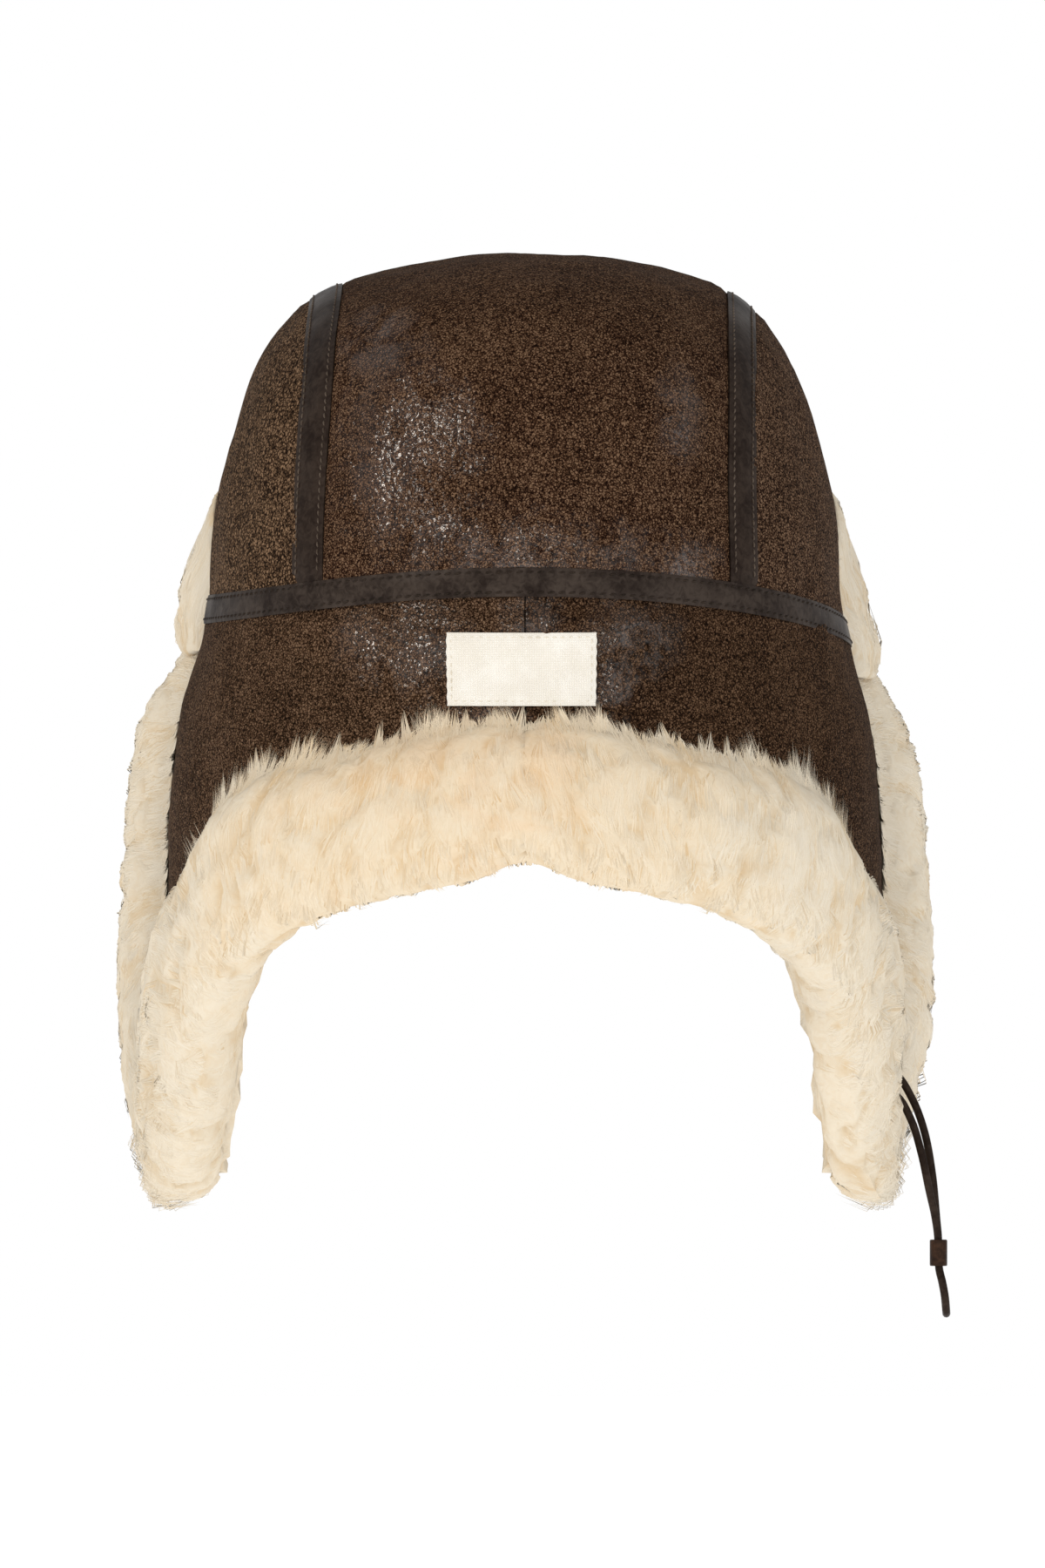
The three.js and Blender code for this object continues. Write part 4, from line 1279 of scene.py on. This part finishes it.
def comb(surface, flip, a_range, b_range, a_size, b_size, spacing=(0.0042, 0.0055), hairs=18,
         reach=0.0125, spread=(0.0032, 0.0036), width=0.00046, lift=(0.0001, 0.0008), seed=1,
         backward=False, gather=0.25, swirl=0.22, aim=None, longer=None):
    """Locks in wisps over a surface. They are combed towards smaller b, or larger b when
    backward, or the way that aim gives for each a; longer scales the reach for each a."""
    rng = np.random.default_rng(seed)
    across = max(1, round((a_range[1] - a_range[0]) * a_size / spacing[0]))
    down = max(1, round((b_range[1] - b_range[0]) * b_size / spacing[1]))
    grid_a, grid_b = np.meshgrid(np.arange(across), np.arange(down))
    grid_a, grid_b = grid_a.ravel(), grid_b.ravel()
    n = len(grid_a)
    shift = 0.5 * (grid_b % 2) + rng.uniform(-0.42, 0.42, n)
    wisp_a = a_range[0] + (grid_a + 0.5 + shift) / across * (a_range[1] - a_range[0])
    wisp_b = b_range[0] + (grid_b + 0.5 + rng.uniform(-0.42, 0.42, n)) / down * (
        b_range[1] - b_range[0])
    wisp_a = np.clip(wisp_a, *a_range)
    turn = swirl * np.sin(wisp_a * a_size / 0.019 + 1.7 * np.sin(wisp_b * b_size / 0.015 + seed))
    turn = turn + rng.normal(0, 0.16, n)
    long = reach * rng.uniform(0.72, 1.28, n)
    if longer is not None:
        long = long * longer(wisp_a)
    rise = rng.uniform(*lift, n)
    shade = rng.uniform(0, 1, n)

    here, out, over_a, over_b = with_normal(surface, wisp_a, wisp_b, flip)
    ahead = unit(over_b if backward else -over_b)
    if aim is not None:
        wanted, weight = aim(wisp_a)
        wanted = wanted - out * dot(wanted, out)[:, None]
        ahead = unit(ahead * (1 - weight)[:, None] + unit(wanted) * weight[:, None])
    way = ahead * np.cos(turn)[:, None] + np.cross(out, ahead) * np.sin(turn)[:, None]
    beside = np.cross(out, way)
    aa, ab, bb = dot(over_a, over_a), dot(over_a, over_b), dot(over_b, over_b)
    whole = np.maximum(aa * bb - ab**2, 1e-10)

    def steps(vector):
        va, vb = dot(vector, over_a), dot(vector, over_b)
        return (va * bb - vb * ab) / whole, (vb * aa - va * ab) / whole

    way_a, way_b = steps(way)
    beside_a, beside_b = steps(beside)

    k = np.repeat(np.arange(n), hairs)
    m = len(k)
    off_side = rng.normal(0, 0.5, m).clip(-1, 1) * spread[0]
    off_way = rng.uniform(-1, 1, m) * spread[1]
    root_a = wisp_a[k] + off_side * beside_a[k] + off_way * way_a[k]
    root_b = wisp_b[k] + off_side * beside_b[k] + off_way * way_b[k]
    short = rng.uniform(0.70, 1.02, m)
    stray = off_side * gather * (1 + 0.6 * rng.normal(0, 1, m))
    goal_a = wisp_a[k] + long[k] * way_a[k] + stray * beside_a[k]
    goal_b = wisp_b[k] + long[k] * way_b[k] + stray * beside_b[k]
    tip_a = root_a + (goal_a - root_a) * short
    tip_b = root_b + (goal_b - root_b) * short
    crown = 1 - (off_side / spread[0]) ** 2
    root, root_out = with_normal(surface, root_a, root_b, flip)[:2]
    bend, bend_out = with_normal(
        surface, root_a + (tip_a - root_a) * 0.45, root_b + (tip_b - root_b) * 0.45, flip)[:2]
    tip, tip_out = with_normal(surface, tip_a, tip_b, flip)[:2]
    high = rise[k] * (0.35 + 0.65 * crown)
    # Locks rooted in a crease between tufts get a lower tone, a darker cream: painted shade.
    crease_shade = partings(root)
    root = root - root_out * 0.0005
    bend = bend + bend_out * (high * rng.uniform(0.7, 1.0, m))[:, None]
    tip = tip + tip_out * (high * rng.uniform(0.35, 0.85, m))[:, None]
    wide = width * rng.uniform(0.7, 1.3, m)
    # The tone varies at random per wisp and per lock, and drops in the creases as painted shade.
    tone_and_crease_shade = np.clip(0.54 + 0.28 * shade[k] - 0.46 * crease_shade + rng.normal(0, 0.12, m), 0, 1)
    return root, bend, tip, bend_out, wide, tone_and_crease_shade


def both(*laid):
    """Several sets of locks as one."""
    return [np.concatenate(parts) for parts in zip(*laid)]


# %% Nap of the turned-up edge
WISPS = (
    ((0.008, 0.7), (0.075, 1.0), (0.190, 0.9), (0.235, 1.0), (0.270, 0.9), (0.310, 1.0)),
    ((0.030, 0.6), (0.062, 0.8), (0.120, 0.4), (0.190, 0.8), (0.240, 0.9), (0.285, 0.9)),
)


def edge_longer(right):
    """How much longer the wisps are at each place of the edge, by the tufts that show."""
    def longer(a):
        level = 0.62 + 0.25 * smooth_step(a, 0.12, 0.24)
        for place, more in WISPS[right]:
            level = level + more * np.exp(-(((a - place) / 0.014) ** 2))
        return np.minimum(level, 1.75)
    return longer


def edge_aim(right):
    """On the ear flap the wool lies sideways, away from the face of the flap's inner edge."""
    def aim(a):
        weight = smooth_step(a, 0.22, 0.40) * (1 - smooth_step(a, 0.54, 0.64)) * 0.85
        way = np.array([SIGNS[right], 0.2, -0.12])
        return np.repeat(way[None], len(a), 0), weight
    return aim


def make_edge_nap(right, part, a_range, seed):
    def surface(a, b):
        return roll_surface(right, a, b)

    flip = -SIGNS[right]
    size = (edge_length, 0.062)
    shared = {"aim": edge_aim(right)}
    coat = comb(surface, flip, a_range, (0.06, 1.10), *size, seed=seed, hairs=17, **shared)
    fringe = comb(surface, flip, a_range, (0.0, 0.11), *size, spacing=(0.0036, 0.0038),
                  hairs=10, reach=0.0092, spread=(0.0030, 0.0026), width=0.00034,
                  lift=(0.0004, 0.0022), gather=0.60, seed=seed + 40,
                  longer=edge_longer(right), **shared)
    wisps = comb(surface, flip, a_range, (0.0, 0.13), *size, spacing=(0.0036, 0.0038),
                 hairs=26, reach=0.0104, spread=(0.0034, 0.0030), width=0.00022,
                 lift=(0.0003, 0.0028), gather=0.95, swirl=0.5, seed=seed + 60,
                 longer=edge_longer(right), **shared)
    rim = comb(surface, flip, a_range, (0.70, 0.85), *size, spacing=(0.0050, 0.0056),
               hairs=12, reach=0.0088, lift=(0.0016, 0.0052), gather=0.65, backward=True,
               seed=seed + 80)
    return lay_locks(f"{part}_nap_{SIDES[right]}", 0.65, (lock_shape, both(coat, fringe, rim)),
                     (hair_shape, wisps))


naps = []
for right in (0, 1):
    naps.append(make_edge_nap(right, "neck", (0.0, 0.36), 200 + right))
    naps.append(make_edge_nap(right, "flap", (0.36, 1.0), 210 + right))


# %% Nap of the brow flap
BROW_NAP = np.array([
    (-0.1, 0.97, 0.02), (0.0, 1.0, 0.25), (0.08, 0.95, 0.62), (0.24, 0.76, 0.92),
    (0.5, 0.48, 1.0), (0.78, 0.2, 0.98), (0.92, 0.03, 0.75), (1.0, 0.0, 0.35),
])


def brow_surface(a, b):
    up, out = (np.interp(b, BROW_NAP[:, 0], BROW_NAP[:, k]) for k in (1, 2))
    flat = brow_place(np.clip(a, 0, 1), up, out)[0]
    return brow_place(np.clip(a, 0, 1), up, out + 140 * tuft_height(flat) * np.minimum(out, 1))[0]


brow_coat = comb(brow_surface, -1, (0.0, 1.0), (0.02, 0.99), 0.31, 0.085,
                 spacing=(0.0056, 0.0074), hairs=12, reach=0.0140, spread=(0.0042, 0.0048),
                 width=0.00066, seed=230)
naps.append(lay_locks("brow_nap", 0.75, (lock_shape, brow_coat)))


# %% Nap inside the skirt
INNER_FACE = -0.0178


def make_inner_nap(right):
    def surface(a, b):
        a = np.clip(a, 0.001, 1)
        r = np.clip(1 - b, 0, 1.2)
        flat = skirt_place(right, a, r, INNER_FACE)[0]
        return skirt_place(right, a, r, INNER_FACE - tuft_height(flat))[0]

    flip = -SIGNS[right]
    locks = comb(surface, flip, (0.002, 1.0), (0.22, 0.94), edge_length, 0.090,
                 spacing=(0.0080, 0.0100), hairs=8, reach=0.0115, spread=(0.0044, 0.0050),
                 width=0.00115, lift=(0.0005, 0.0022), seed=240 + right)
    facing = dot(locks[3][:, :2], -locks[0][:, :2]).mean()
    print("inner nap faces the head" if facing > 0 else "inner nap faces the leather")
    return lay_locks(f"inner_nap_{SIDES[right]}", 0.4, (lock_shape, locks))


naps.append(make_inner_nap(0))
naps.append(make_inner_nap(1))

# %% [markdown]
# ## Keeper and button
#
# The keeper is a short hard sleeve that holds the two strands of the lace together. The
# button sits on a shank on the other flap, where the lace would be hooked. Both are turned
# pieces, so they begin as cylinders that are inset, extruded and bevelled.


# %% Keeper
def select_where(piece, test):
    """In edit mode's face mode, selects the faces whose middle and normal pass a test."""
    bpy.ops.object.mode_set(mode="EDIT")
    bpy.ops.mesh.select_mode(type="FACE")
    bpy.ops.mesh.select_all(action="DESELECT")
    bpy.ops.object.mode_set(mode="OBJECT")
    for face in piece.data.polygons:
        face.select = bool(test(face.center, face.normal))
    bpy.ops.object.mode_set(mode="EDIT")


def make_keeper():
    bpy.ops.object.select_all(action="DESELECT")
    bpy.ops.mesh.primitive_cylinder_add(vertices=40, radius=1.0, depth=0.0084,
                                        location=(0, 0, 0))
    piece = bpy.context.object
    piece.name = piece.data.name = "lace_sleeve"
    select_where(piece, lambda c, n: abs(n.z) > 0.9)
    bpy.ops.mesh.inset(thickness=0.30, depth=0)
    bpy.ops.mesh.bridge_edge_loops()
    bpy.ops.object.mode_set(mode="OBJECT")
    points = corners_of(piece)
    radius = np.linalg.norm(points[:, :2], axis=1)
    turn = np.arctan2(points[:, 1], points[:, 0])
    square = (np.abs(np.cos(turn)) ** 3 + np.abs(np.sin(turn)) ** 3) ** (-1 / 3)
    outer = radius > 0.85
    half_x = np.where(outer, 0.0028, 0.0019)
    half_y = np.where(outer, 0.0043, 0.0034)
    points[:, 0] = np.cos(turn) * square * half_x + 0.132
    points[:, 1] = np.sin(turn) * square * half_y
    points[:, 2] += -0.2052
    set_corners(piece, points)
    apply_modifier(piece, "BEVEL", width=0.0004, segments=3, limit_method="ANGLE")
    shade_smooth(piece, 40)
    print(piece.name, count_faces(piece), "triangles")
    return piece


lace_sleeve = make_keeper()


# %% Button
def make_button():
    bpy.ops.object.select_all(action="DESELECT")
    bpy.ops.mesh.primitive_cylinder_add(vertices=56, radius=0.0070, depth=0.0024)
    piece = bpy.context.object
    piece.name = piece.data.name = "shank_button"
    select_where(piece, lambda c, n: n.z > 0.9)
    bpy.ops.mesh.inset(thickness=0.0014, depth=0)
    bpy.ops.mesh.inset(thickness=0.0006, depth=-0.0006)
    bpy.ops.mesh.inset(thickness=0.0030, depth=0.0003)
    select_where(piece, lambda c, n: n.z < -0.9)
    bpy.ops.mesh.inset(thickness=0.0052, depth=0)
    bpy.ops.mesh.extrude_region_move(TRANSFORM_OT_translate={"value": (0, 0, -0.0064)})
    bpy.ops.object.mode_set(mode="OBJECT")
    apply_modifier(piece, "BEVEL", width=0.0004, segments=3, limit_method="ANGLE")
    points = corners_of(piece)
    foot = on_hat_at(-math.radians(91), -0.134, 0.0004)
    turned = np.stack([-(points[:, 2] + 0.0078), points[:, 0], points[:, 1]], 1)
    set_corners(piece, turned + foot)
    shade_smooth(piece, 40)
    edit_all(piece, turn_faces_out)
    print(piece.name, count_faces(piece), "triangles")
    return piece


shank_button = make_button()

# %% [markdown]
# ## Finishes
#
# The leather is a dark brown with a fine tan mottle, worn lighter on the left side, and its
# pebbled grain catches small glints where it has been rubbed glossy: a clear coat with its own
# coarser bump, laid only there. The tapes are smoother and darker, and the band round the foot
# of the crown is a little lighter and greyer, a painted sheen. The wool is cream, a little warmer
# at the roots, and in the creases between its tufts a darker cream is painted as shade. Every
# finish is worked out from the place on the hat, at the real size of the grain, so nothing
# slides or stretches.


# %% Node helpers
def new_finish(name, **values):
    material = bpy.data.materials.new(name)
    material.use_nodes = True
    tree = material.node_tree
    shader = tree.nodes["Principled BSDF"]
    for key, value in values.items():
        shader.inputs[key.replace("_", " ")].default_value = value
    return material, tree, shader


def add_node(tree, kind, settings=None, **values):
    node = tree.nodes.new(kind)
    for key, value in (settings or {}).items():
        setattr(node, key, value)
    for key, value in values.items():
        name = key.replace("_", " ")
        if isinstance(value, bpy.types.NodeSocket):
            tree.links.new(value, node.inputs[name])
        else:
            node.inputs[name].default_value = value
    return node


def ramp(tree, factor, stops, smooth=True):
    node = tree.nodes.new("ShaderNodeValToRGB")
    tree.links.new(factor, node.inputs["Fac"])
    node.color_ramp.interpolation = "EASE" if smooth else "LINEAR"
    elements = node.color_ramp.elements
    while len(elements) < len(stops):
        elements.new(0.5)
    for element, (place, color) in zip(elements, stops):
        element.position = place
        element.color = (*color, 1.0) if len(color) == 3 else (color[0],) * 3 + (1.0,)
    return node.outputs["Color"]


def noise_at(tree, vector, scale, detail=3.0, roughness=0.55, distortion=0.0):
    return add_node(tree, "ShaderNodeTexNoise", Vector=vector, Scale=scale, Detail=detail,
                    Roughness=roughness, Distortion=distortion).outputs["Fac"]


def maths(tree, operation, *inputs):
    node = add_node(tree, "ShaderNodeMath", {"operation": operation})
    for k, value in enumerate(inputs):
        if isinstance(value, bpy.types.NodeSocket):
            tree.links.new(value, node.inputs[k])
        else:
            node.inputs[k].default_value = value
    return node.outputs[0]


def weighted(tree, *parts):
    """The sum of several values, each times its own weight."""
    total = maths(tree, "MULTIPLY", *parts[0])
    for part in parts[1:]:
        total = maths(tree, "ADD", total, maths(tree, "MULTIPLY", *part))
    return total


def map_range(tree, value, *ends):
    """A value taken from its own low and high to another low and high."""
    node = add_node(tree, "ShaderNodeMapRange", Value=value)
    for key, end in zip(("From Min", "From Max", "To Min", "To Max"), ends):
        node.inputs[key].default_value = end
    return node.outputs["Result"]


def attribute(tree, name):
    return add_node(tree, "ShaderNodeAttribute", {"attribute_name": name}).outputs["Fac"]


def place_on_hat(tree):
    return add_node(tree, "ShaderNodeTexCoord").outputs["Object"]


def add_bump(tree, shader, height, strength, distance, socket="Normal"):
    bump = add_node(tree, "ShaderNodeBump", Height=height, Strength=strength, Distance=distance)
    tree.links.new(bump.outputs["Normal"], shader.inputs[socket])


def mix_color(tree, factor, one, two, blend="MIX"):
    node = tree.nodes.new("ShaderNodeMix")
    node.data_type = "RGBA"
    node.blend_type = blend
    for name, value in (("Factor", factor), ("A", one), ("B", two)):
        sockets = [s for s in node.inputs if s.name == name and s.enabled]
        socket = sockets[0]
        if isinstance(value, bpy.types.NodeSocket):
            tree.links.new(value, socket)
        else:
            socket.default_value = value if name == "Factor" else (*value, 1.0)
    return [s for s in node.outputs if s.enabled][0]


print("node helpers ready")


# %% Leather
def leather_finish(name, dark, mid, light, cell=0.00075, gloss_most=0.52):
    """Leather with a mottle of the given cell size, glossy by up to gloss_most where rubbed."""
    material, tree, shader = new_finish(name, IOR=1.5, Specular_IOR_Level=0.02,
                                        Roughness=0.72, Coat_Roughness=0.17, Coat_IOR=1.75,
                                        Coat_Tint=(0.86, 0.70, 0.56, 1.0))
    place = place_on_hat(tree)
    mottle = noise_at(tree, place, 0.9 / cell, 2.0, 0.6, 1.4)
    broad = noise_at(tree, place, 0.32 / cell, 2.0, 0.6, 0.8)
    specks = noise_at(tree, place, 1.7 / cell, 2.0, 0.6, 0.4)
    cracks = add_node(tree, "ShaderNodeTexVoronoi", {"feature": "DISTANCE_TO_EDGE"},
                      Vector=place, Scale=0.75 / cell, Randomness=1.0).outputs["Distance"]
    crease = ramp(tree, cracks, [(0.0, (0.0,)), (0.22, (1.0,))])
    clouds = noise_at(tree, place, 42.0, 4.0, 0.6, 0.5)
    level = weighted(tree, (mottle, 0.46), (specks, 0.34), (broad, 0.10), (crease, 0.10),
                     (clouds, 0.08))
    color = ramp(tree, level, [(0.475, dark), (0.565, mid), (0.64, light)])
    tree.links.new(color, shader.inputs["Base Color"])
    patchy = noise_at(tree, place, 85.0, 4.0, 0.65, 0.8)
    shine = maths(tree, "MULTIPLY", attribute(tree, "rubbed"),
                  maths(tree, "MULTIPLY_ADD", patchy, 4.4, -1.35))
    gloss = map_range(tree, shine, 0.16, 1.05, 0.0, gloss_most)
    tree.links.new(gloss, shader.inputs["Coat Weight"])
    pebbles = add_node(tree, "ShaderNodeTexVoronoi", {"feature": "SMOOTH_F1"}, Vector=place,
                       Scale=0.72 / cell, Smoothness=0.4).outputs["Distance"]
    folds = noise_at(tree, place, 190.0, 3.0, 0.6, 1.2)
    height = weighted(tree, (pebbles, -0.8), (folds, 0.8), (mottle, 0.4))
    add_bump(tree, shader, height, 0.7, 0.0006)
    coarse = add_node(tree, "ShaderNodeTexVoronoi", {"feature": "SMOOTH_F1"}, Vector=place,
                      Scale=560.0, Smoothness=0.6).outputs["Distance"]
    pebbled = weighted(tree, (coarse, -1.0), (folds, 0.7))
    add_bump(tree, shader, pebbled, 1.0, 0.00042, "Coat Normal")
    return material


crown_finish = leather_finish(
    "brown_leather", (0.006, 0.002, 0.001), (0.052, 0.025, 0.013), (0.172, 0.105, 0.063))
side_left_finish = leather_finish(
    "worn_leather", (0.008, 0.004, 0.002), (0.066, 0.038, 0.021), (0.215, 0.134, 0.079),
    0.00105, 0.12)
side_right_finish = leather_finish(
    "deep_leather", (0.005, 0.002, 0.001), (0.052, 0.027, 0.015), (0.178, 0.110, 0.068),
    0.00080, 0.25)
skirt_finish = leather_finish(
    "skirt_brown", (0.006, 0.003, 0.001), (0.054, 0.028, 0.015), (0.165, 0.102, 0.062))
skirt_right_finish = leather_finish(
    "skirt_deep", (0.005, 0.0022, 0.001), (0.040, 0.020, 0.010), (0.122, 0.072, 0.042))


def tape_finish_of(name, color, worn, thread=False):
    material, tree, shader = new_finish(name, IOR=1.45, Specular_IOR_Level=0.06)
    place = place_on_hat(tree)
    fine = noise_at(tree, place, 900.0 if thread else 420.0, 4.0, 0.6, 0.8)
    broad = noise_at(tree, place, 60.0, 3.0, 0.6)
    level = weighted(tree, (fine, 0.5), (broad, 0.5))
    tree.links.new(ramp(tree, level, [(0.34, color), (0.66, worn)]), shader.inputs["Base Color"])
    dull, smooth = (0.52, 0.40) if thread else (0.46, 0.30)
    rough = map_range(tree, broad, 0.35, 0.65, dull, smooth)
    tree.links.new(rough, shader.inputs["Roughness"])
    add_bump(tree, shader, fine, 0.35, 0.0003)
    return material


tape_finish = tape_finish_of("tape_leather", (0.012, 0.007, 0.005), (0.036, 0.025, 0.019))
# The band is coloured lighter and greyer than the tapes: a painted sheen.
band_painted_sheen_finish = tape_finish_of("band_leather", (0.014, 0.009, 0.007), (0.048, 0.036, 0.029))
thread_finish = tape_finish_of("dark_thread", (0.010, 0.007, 0.005), (0.034, 0.024, 0.018), True)
grey_thread = tape_finish_of("grey_thread", (0.045, 0.032, 0.024), (0.115, 0.088, 0.068), True)
cream_thread = tape_finish_of("cream_thread", (0.62, 0.56, 0.46), (0.78, 0.73, 0.63), True)
horn_finish = tape_finish_of("dark_horn", (0.016, 0.009, 0.006), (0.050, 0.026, 0.016))
print("leather finishes ready")


# %% Wool and patch
def wool_finish(name, nap):
    material, tree, shader = new_finish(
        name, Roughness=0.95, IOR=1.4, Specular_IOR_Level=0.0)
    place = place_on_hat(tree)
    clouds = noise_at(tree, place, 32.0, 4.0, 0.6, 0.6)
    nape = add_node(tree, "ShaderNodeVectorMath", {"operation": "DISTANCE"})
    tree.links.new(place, nape.inputs[0])
    nape.inputs[1].default_value = (-0.030, -0.125, -0.052)
    cream = maths(tree, "ADD", maths(tree, "MULTIPLY", nape.outputs["Value"], 3.2), clouds)
    warm = ramp(tree, cream, [(0.42, (0.690, 0.560, 0.408)), (0.66, (0.695, 0.607, 0.475)),
                              (0.92, (0.695, 0.635, 0.532))])
    # A low tone gives a darker, warmer cream: painted shade in the creases between tufts, besides
    # the random tone of the locks.
    shade = ramp(tree, attribute(tree, "tone_and_crease_shade"), [
        (0.0, (0.87, 0.76, 0.61)), (0.5, (0.97, 0.945, 0.90)), (1.0, (1.02, 1.02, 1.02))], False)
    color = mix_color(tree, 1.0, warm, shade, "MULTIPLY")
    if nap:
        deep = ramp(tree, attribute(tree, "along"), [
            (0.0, (0.97, 0.92, 0.85)), (0.6, (1.0, 1.0, 1.0))], False)
        color = mix_color(tree, 1.0, color, deep, "MULTIPLY")
    else:
        streak = noise_at(tree, place, 300.0, 3.0, 0.6, 1.0)
        fine = ramp(tree, streak, [(0.35, (0.97, 0.94, 0.90)), (0.6, (1.0, 1.0, 1.0))])
        color = mix_color(tree, 1.0, color, fine, "MULTIPLY")
        add_bump(tree, shader, streak, 0.5, 0.0008)
    tree.links.new(color, shader.inputs["Base Color"])
    return material


wool_nap_finish = wool_finish("wool_nap", True)
wool_body_finish = wool_finish("wool_body", False)


def patch_finish_of():
    material, tree, shader = new_finish("woven_cotton", Roughness=0.82, IOR=1.45,
                                        Sheen_Weight=0.15)
    place = place_on_hat(tree)
    across = add_node(tree, "ShaderNodeTexWave", {"bands_direction": "X"}, Vector=place,
                      Scale=420.0, Distortion=1.0, Detail=2.0).outputs["Fac"]
    upward = add_node(tree, "ShaderNodeTexWave", {"bands_direction": "Z"}, Vector=place,
                      Scale=560.0, Distortion=1.0, Detail=2.0).outputs["Fac"]
    weave = maths(tree, "MULTIPLY", across, upward)
    soil = noise_at(tree, place, 120.0, 3.0, 0.6)
    level = weighted(tree, (weave, 0.4), (soil, 0.6))
    color = ramp(tree, level, [(0.25, (0.72, 0.68, 0.60)), (0.6, (0.86, 0.84, 0.79))])
    tree.links.new(color, shader.inputs["Base Color"])
    add_bump(tree, shader, weave, 0.5, 0.0003)
    return material


patch_finish = patch_finish_of()
print("wool and patch finishes ready")

# %% [markdown]
# ## Putting it together
#
# Each new piece gets its finish, rides on the one body of the hat, and says which solid of
# the frame it stands for. That solid is then hidden. The nap, the stitches and the patch's
# thread have no solid of their own and lie on pieces that do. Light passes through wool, so
# the locks cast no shade on each other, and only the bodies under them do.

# %% Finish, ride and replace
PIECES = [
    (crown_leather_center, crown_finish, "crown_leather", ["crown_center_panel"]),
    (crown_leather_left, side_left_finish, "crown_leather", ["crown_side_panel_left"]),
    (crown_leather_right, side_right_finish, "crown_leather", ["crown_side_panel_right"]),
    (skirt_sheet_left, skirt_finish, "crown_leather", ["skirt_leather_left"]),
    (skirt_sheet_right, skirt_right_finish, "crown_leather", ["skirt_leather_right"]),
    (brow_leather, skirt_finish, "crown_leather", ["brow_flap_leather"]),
    (tape_left, tape_finish, "tape_leather", ["crown_tape_left"]),
    (tape_right, tape_finish, "tape_leather", ["crown_tape_right"]),
    (seam_band, band_painted_sheen_finish, "tape_leather", ["band_tape"]),
    (tape_stitches_left, grey_thread, "tape_leather", []),
    (tape_stitches_right, grey_thread, "tape_leather", []),
    (band_stitches, thread_finish, "tape_leather", []),
    (woven_patch, patch_finish, "woven_patch", ["label"]),
    (patch_stitches, cream_thread, "woven_patch", []),
    (edge_wool_left, wool_body_finish, "wool", ["edge_fur_left"]),
    (edge_wool_right, wool_body_finish, "wool", ["edge_fur_right"]),
    (brow_wool, wool_body_finish, "wool", ["brow_flap_fur"]),
    (crown_lining, wool_body_finish, "wool", ["crown_wool_lining"]),
    (skirt_lining_left, wool_body_finish, "wool", ["skirt_wool_lining_left"]),
    (skirt_lining_right, wool_body_finish, "wool", ["skirt_wool_lining_right"]),
    (waxed_lace, tape_finish, "tape_leather", ["lace"]),
    (lace_sleeve, horn_finish, "tape_leather", ["lace_keeper"]),
    (shank_button, horn_finish, "tape_leather", ["flap_button"]),
]
PIECES += [(piece, wool_nap_finish, "wool", []) for piece in naps]
# The locks cast no shade, and the shade in the creases between the tufts is painted into the
# wool's tone instead.
for piece in naps:
    piece.visible_shadow = False
    piece.visible_diffuse = False

for piece, finish, slot_name, nodes in PIECES:
    piece.data.materials.clear()
    piece.data.materials.append(finish)
    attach(piece, "root")
    if nodes:
        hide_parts(*nodes)

print("pieces", len(PIECES), "triangles",
      sum(count_faces(p[0]) for p in PIECES if p[0].type == "MESH"))

# %% [markdown]
# ## Floor and light
#
# The photograph is lit softly on pure white. A pale floor and a bright, even sky give the
# white. Two small warm lamps, one at the upper left and one above the camera, draw the glints
# on the grain, and a large weak one from the right keeps the far side open.


# %% Floor and lights
def make_floor():
    bpy.ops.object.select_all(action="DESELECT")
    bpy.ops.mesh.primitive_plane_add(size=8.0, location=(0, 0, -0.30))
    floor = bpy.context.object
    floor.name = floor.data.name = "floor"
    material, tree, shader = new_finish(
        "floor_white", Base_Color=(0.92, 0.92, 0.92, 1.0), Roughness=0.9,
        Emission_Color=(1.0, 1.0, 1.0, 1.0), Emission_Strength=0.7)
    floor.data.materials.append(material)


def add_light(name, place, size, energy, color=(1.0, 1.0, 1.0)):
    data = bpy.data.lights.new(name, "AREA")
    data.shape = "RECTANGLE"
    data.size, data.size_y = size
    data.energy = energy
    data.color = color
    light = bpy.data.objects.new(name, data)
    light.location = place
    aim = Vector((0.0, 0.0, -0.03)) - Vector(place)
    light.rotation_euler = aim.to_track_quat("-Z", "Y").to_euler()
    bpy.context.scene.collection.objects.link(light)


def make_sky(shown, lighting):
    """A world that looks white to the camera and lights the hat a little less than that."""
    world = bpy.data.worlds.new("studio")
    world.use_nodes = True
    tree = world.node_tree
    white = tree.nodes["Background"]
    white.inputs["Color"].default_value = (1.0, 1.0, 1.0, 1.0)
    white.inputs["Strength"].default_value = shown
    soft = tree.nodes.new("ShaderNodeBackground")
    soft.inputs["Color"].default_value = (1.0, 1.0, 1.0, 1.0)
    soft.inputs["Strength"].default_value = lighting
    ray = tree.nodes.new("ShaderNodeLightPath")
    mix = tree.nodes.new("ShaderNodeMixShader")
    tree.links.new(ray.outputs["Is Camera Ray"], mix.inputs["Fac"])
    tree.links.new(soft.outputs["Background"], mix.inputs[1])
    tree.links.new(white.outputs["Background"], mix.inputs[2])
    tree.links.new(mix.outputs["Shader"], tree.nodes["World Output"].inputs["Surface"])
    bpy.context.scene.world = world


make_floor()
add_light("key", (-1.5, -1.45, 0.92), (0.28, 0.28), 12.5, (1.0, 0.93, 0.84))
add_light("front", (0.25, -2.6, 0.75), (0.30, 0.30), 10.0, (1.0, 0.93, 0.84))
add_light("fill", (1.7, -1.4, 0.3), (1.2, 1.2), 5.0)
make_sky(1.0, 0.56)
bpy.context.scene.view_settings.view_transform = "Standard"
bpy.context.scene.view_settings.look = "None"
print("lights ready")
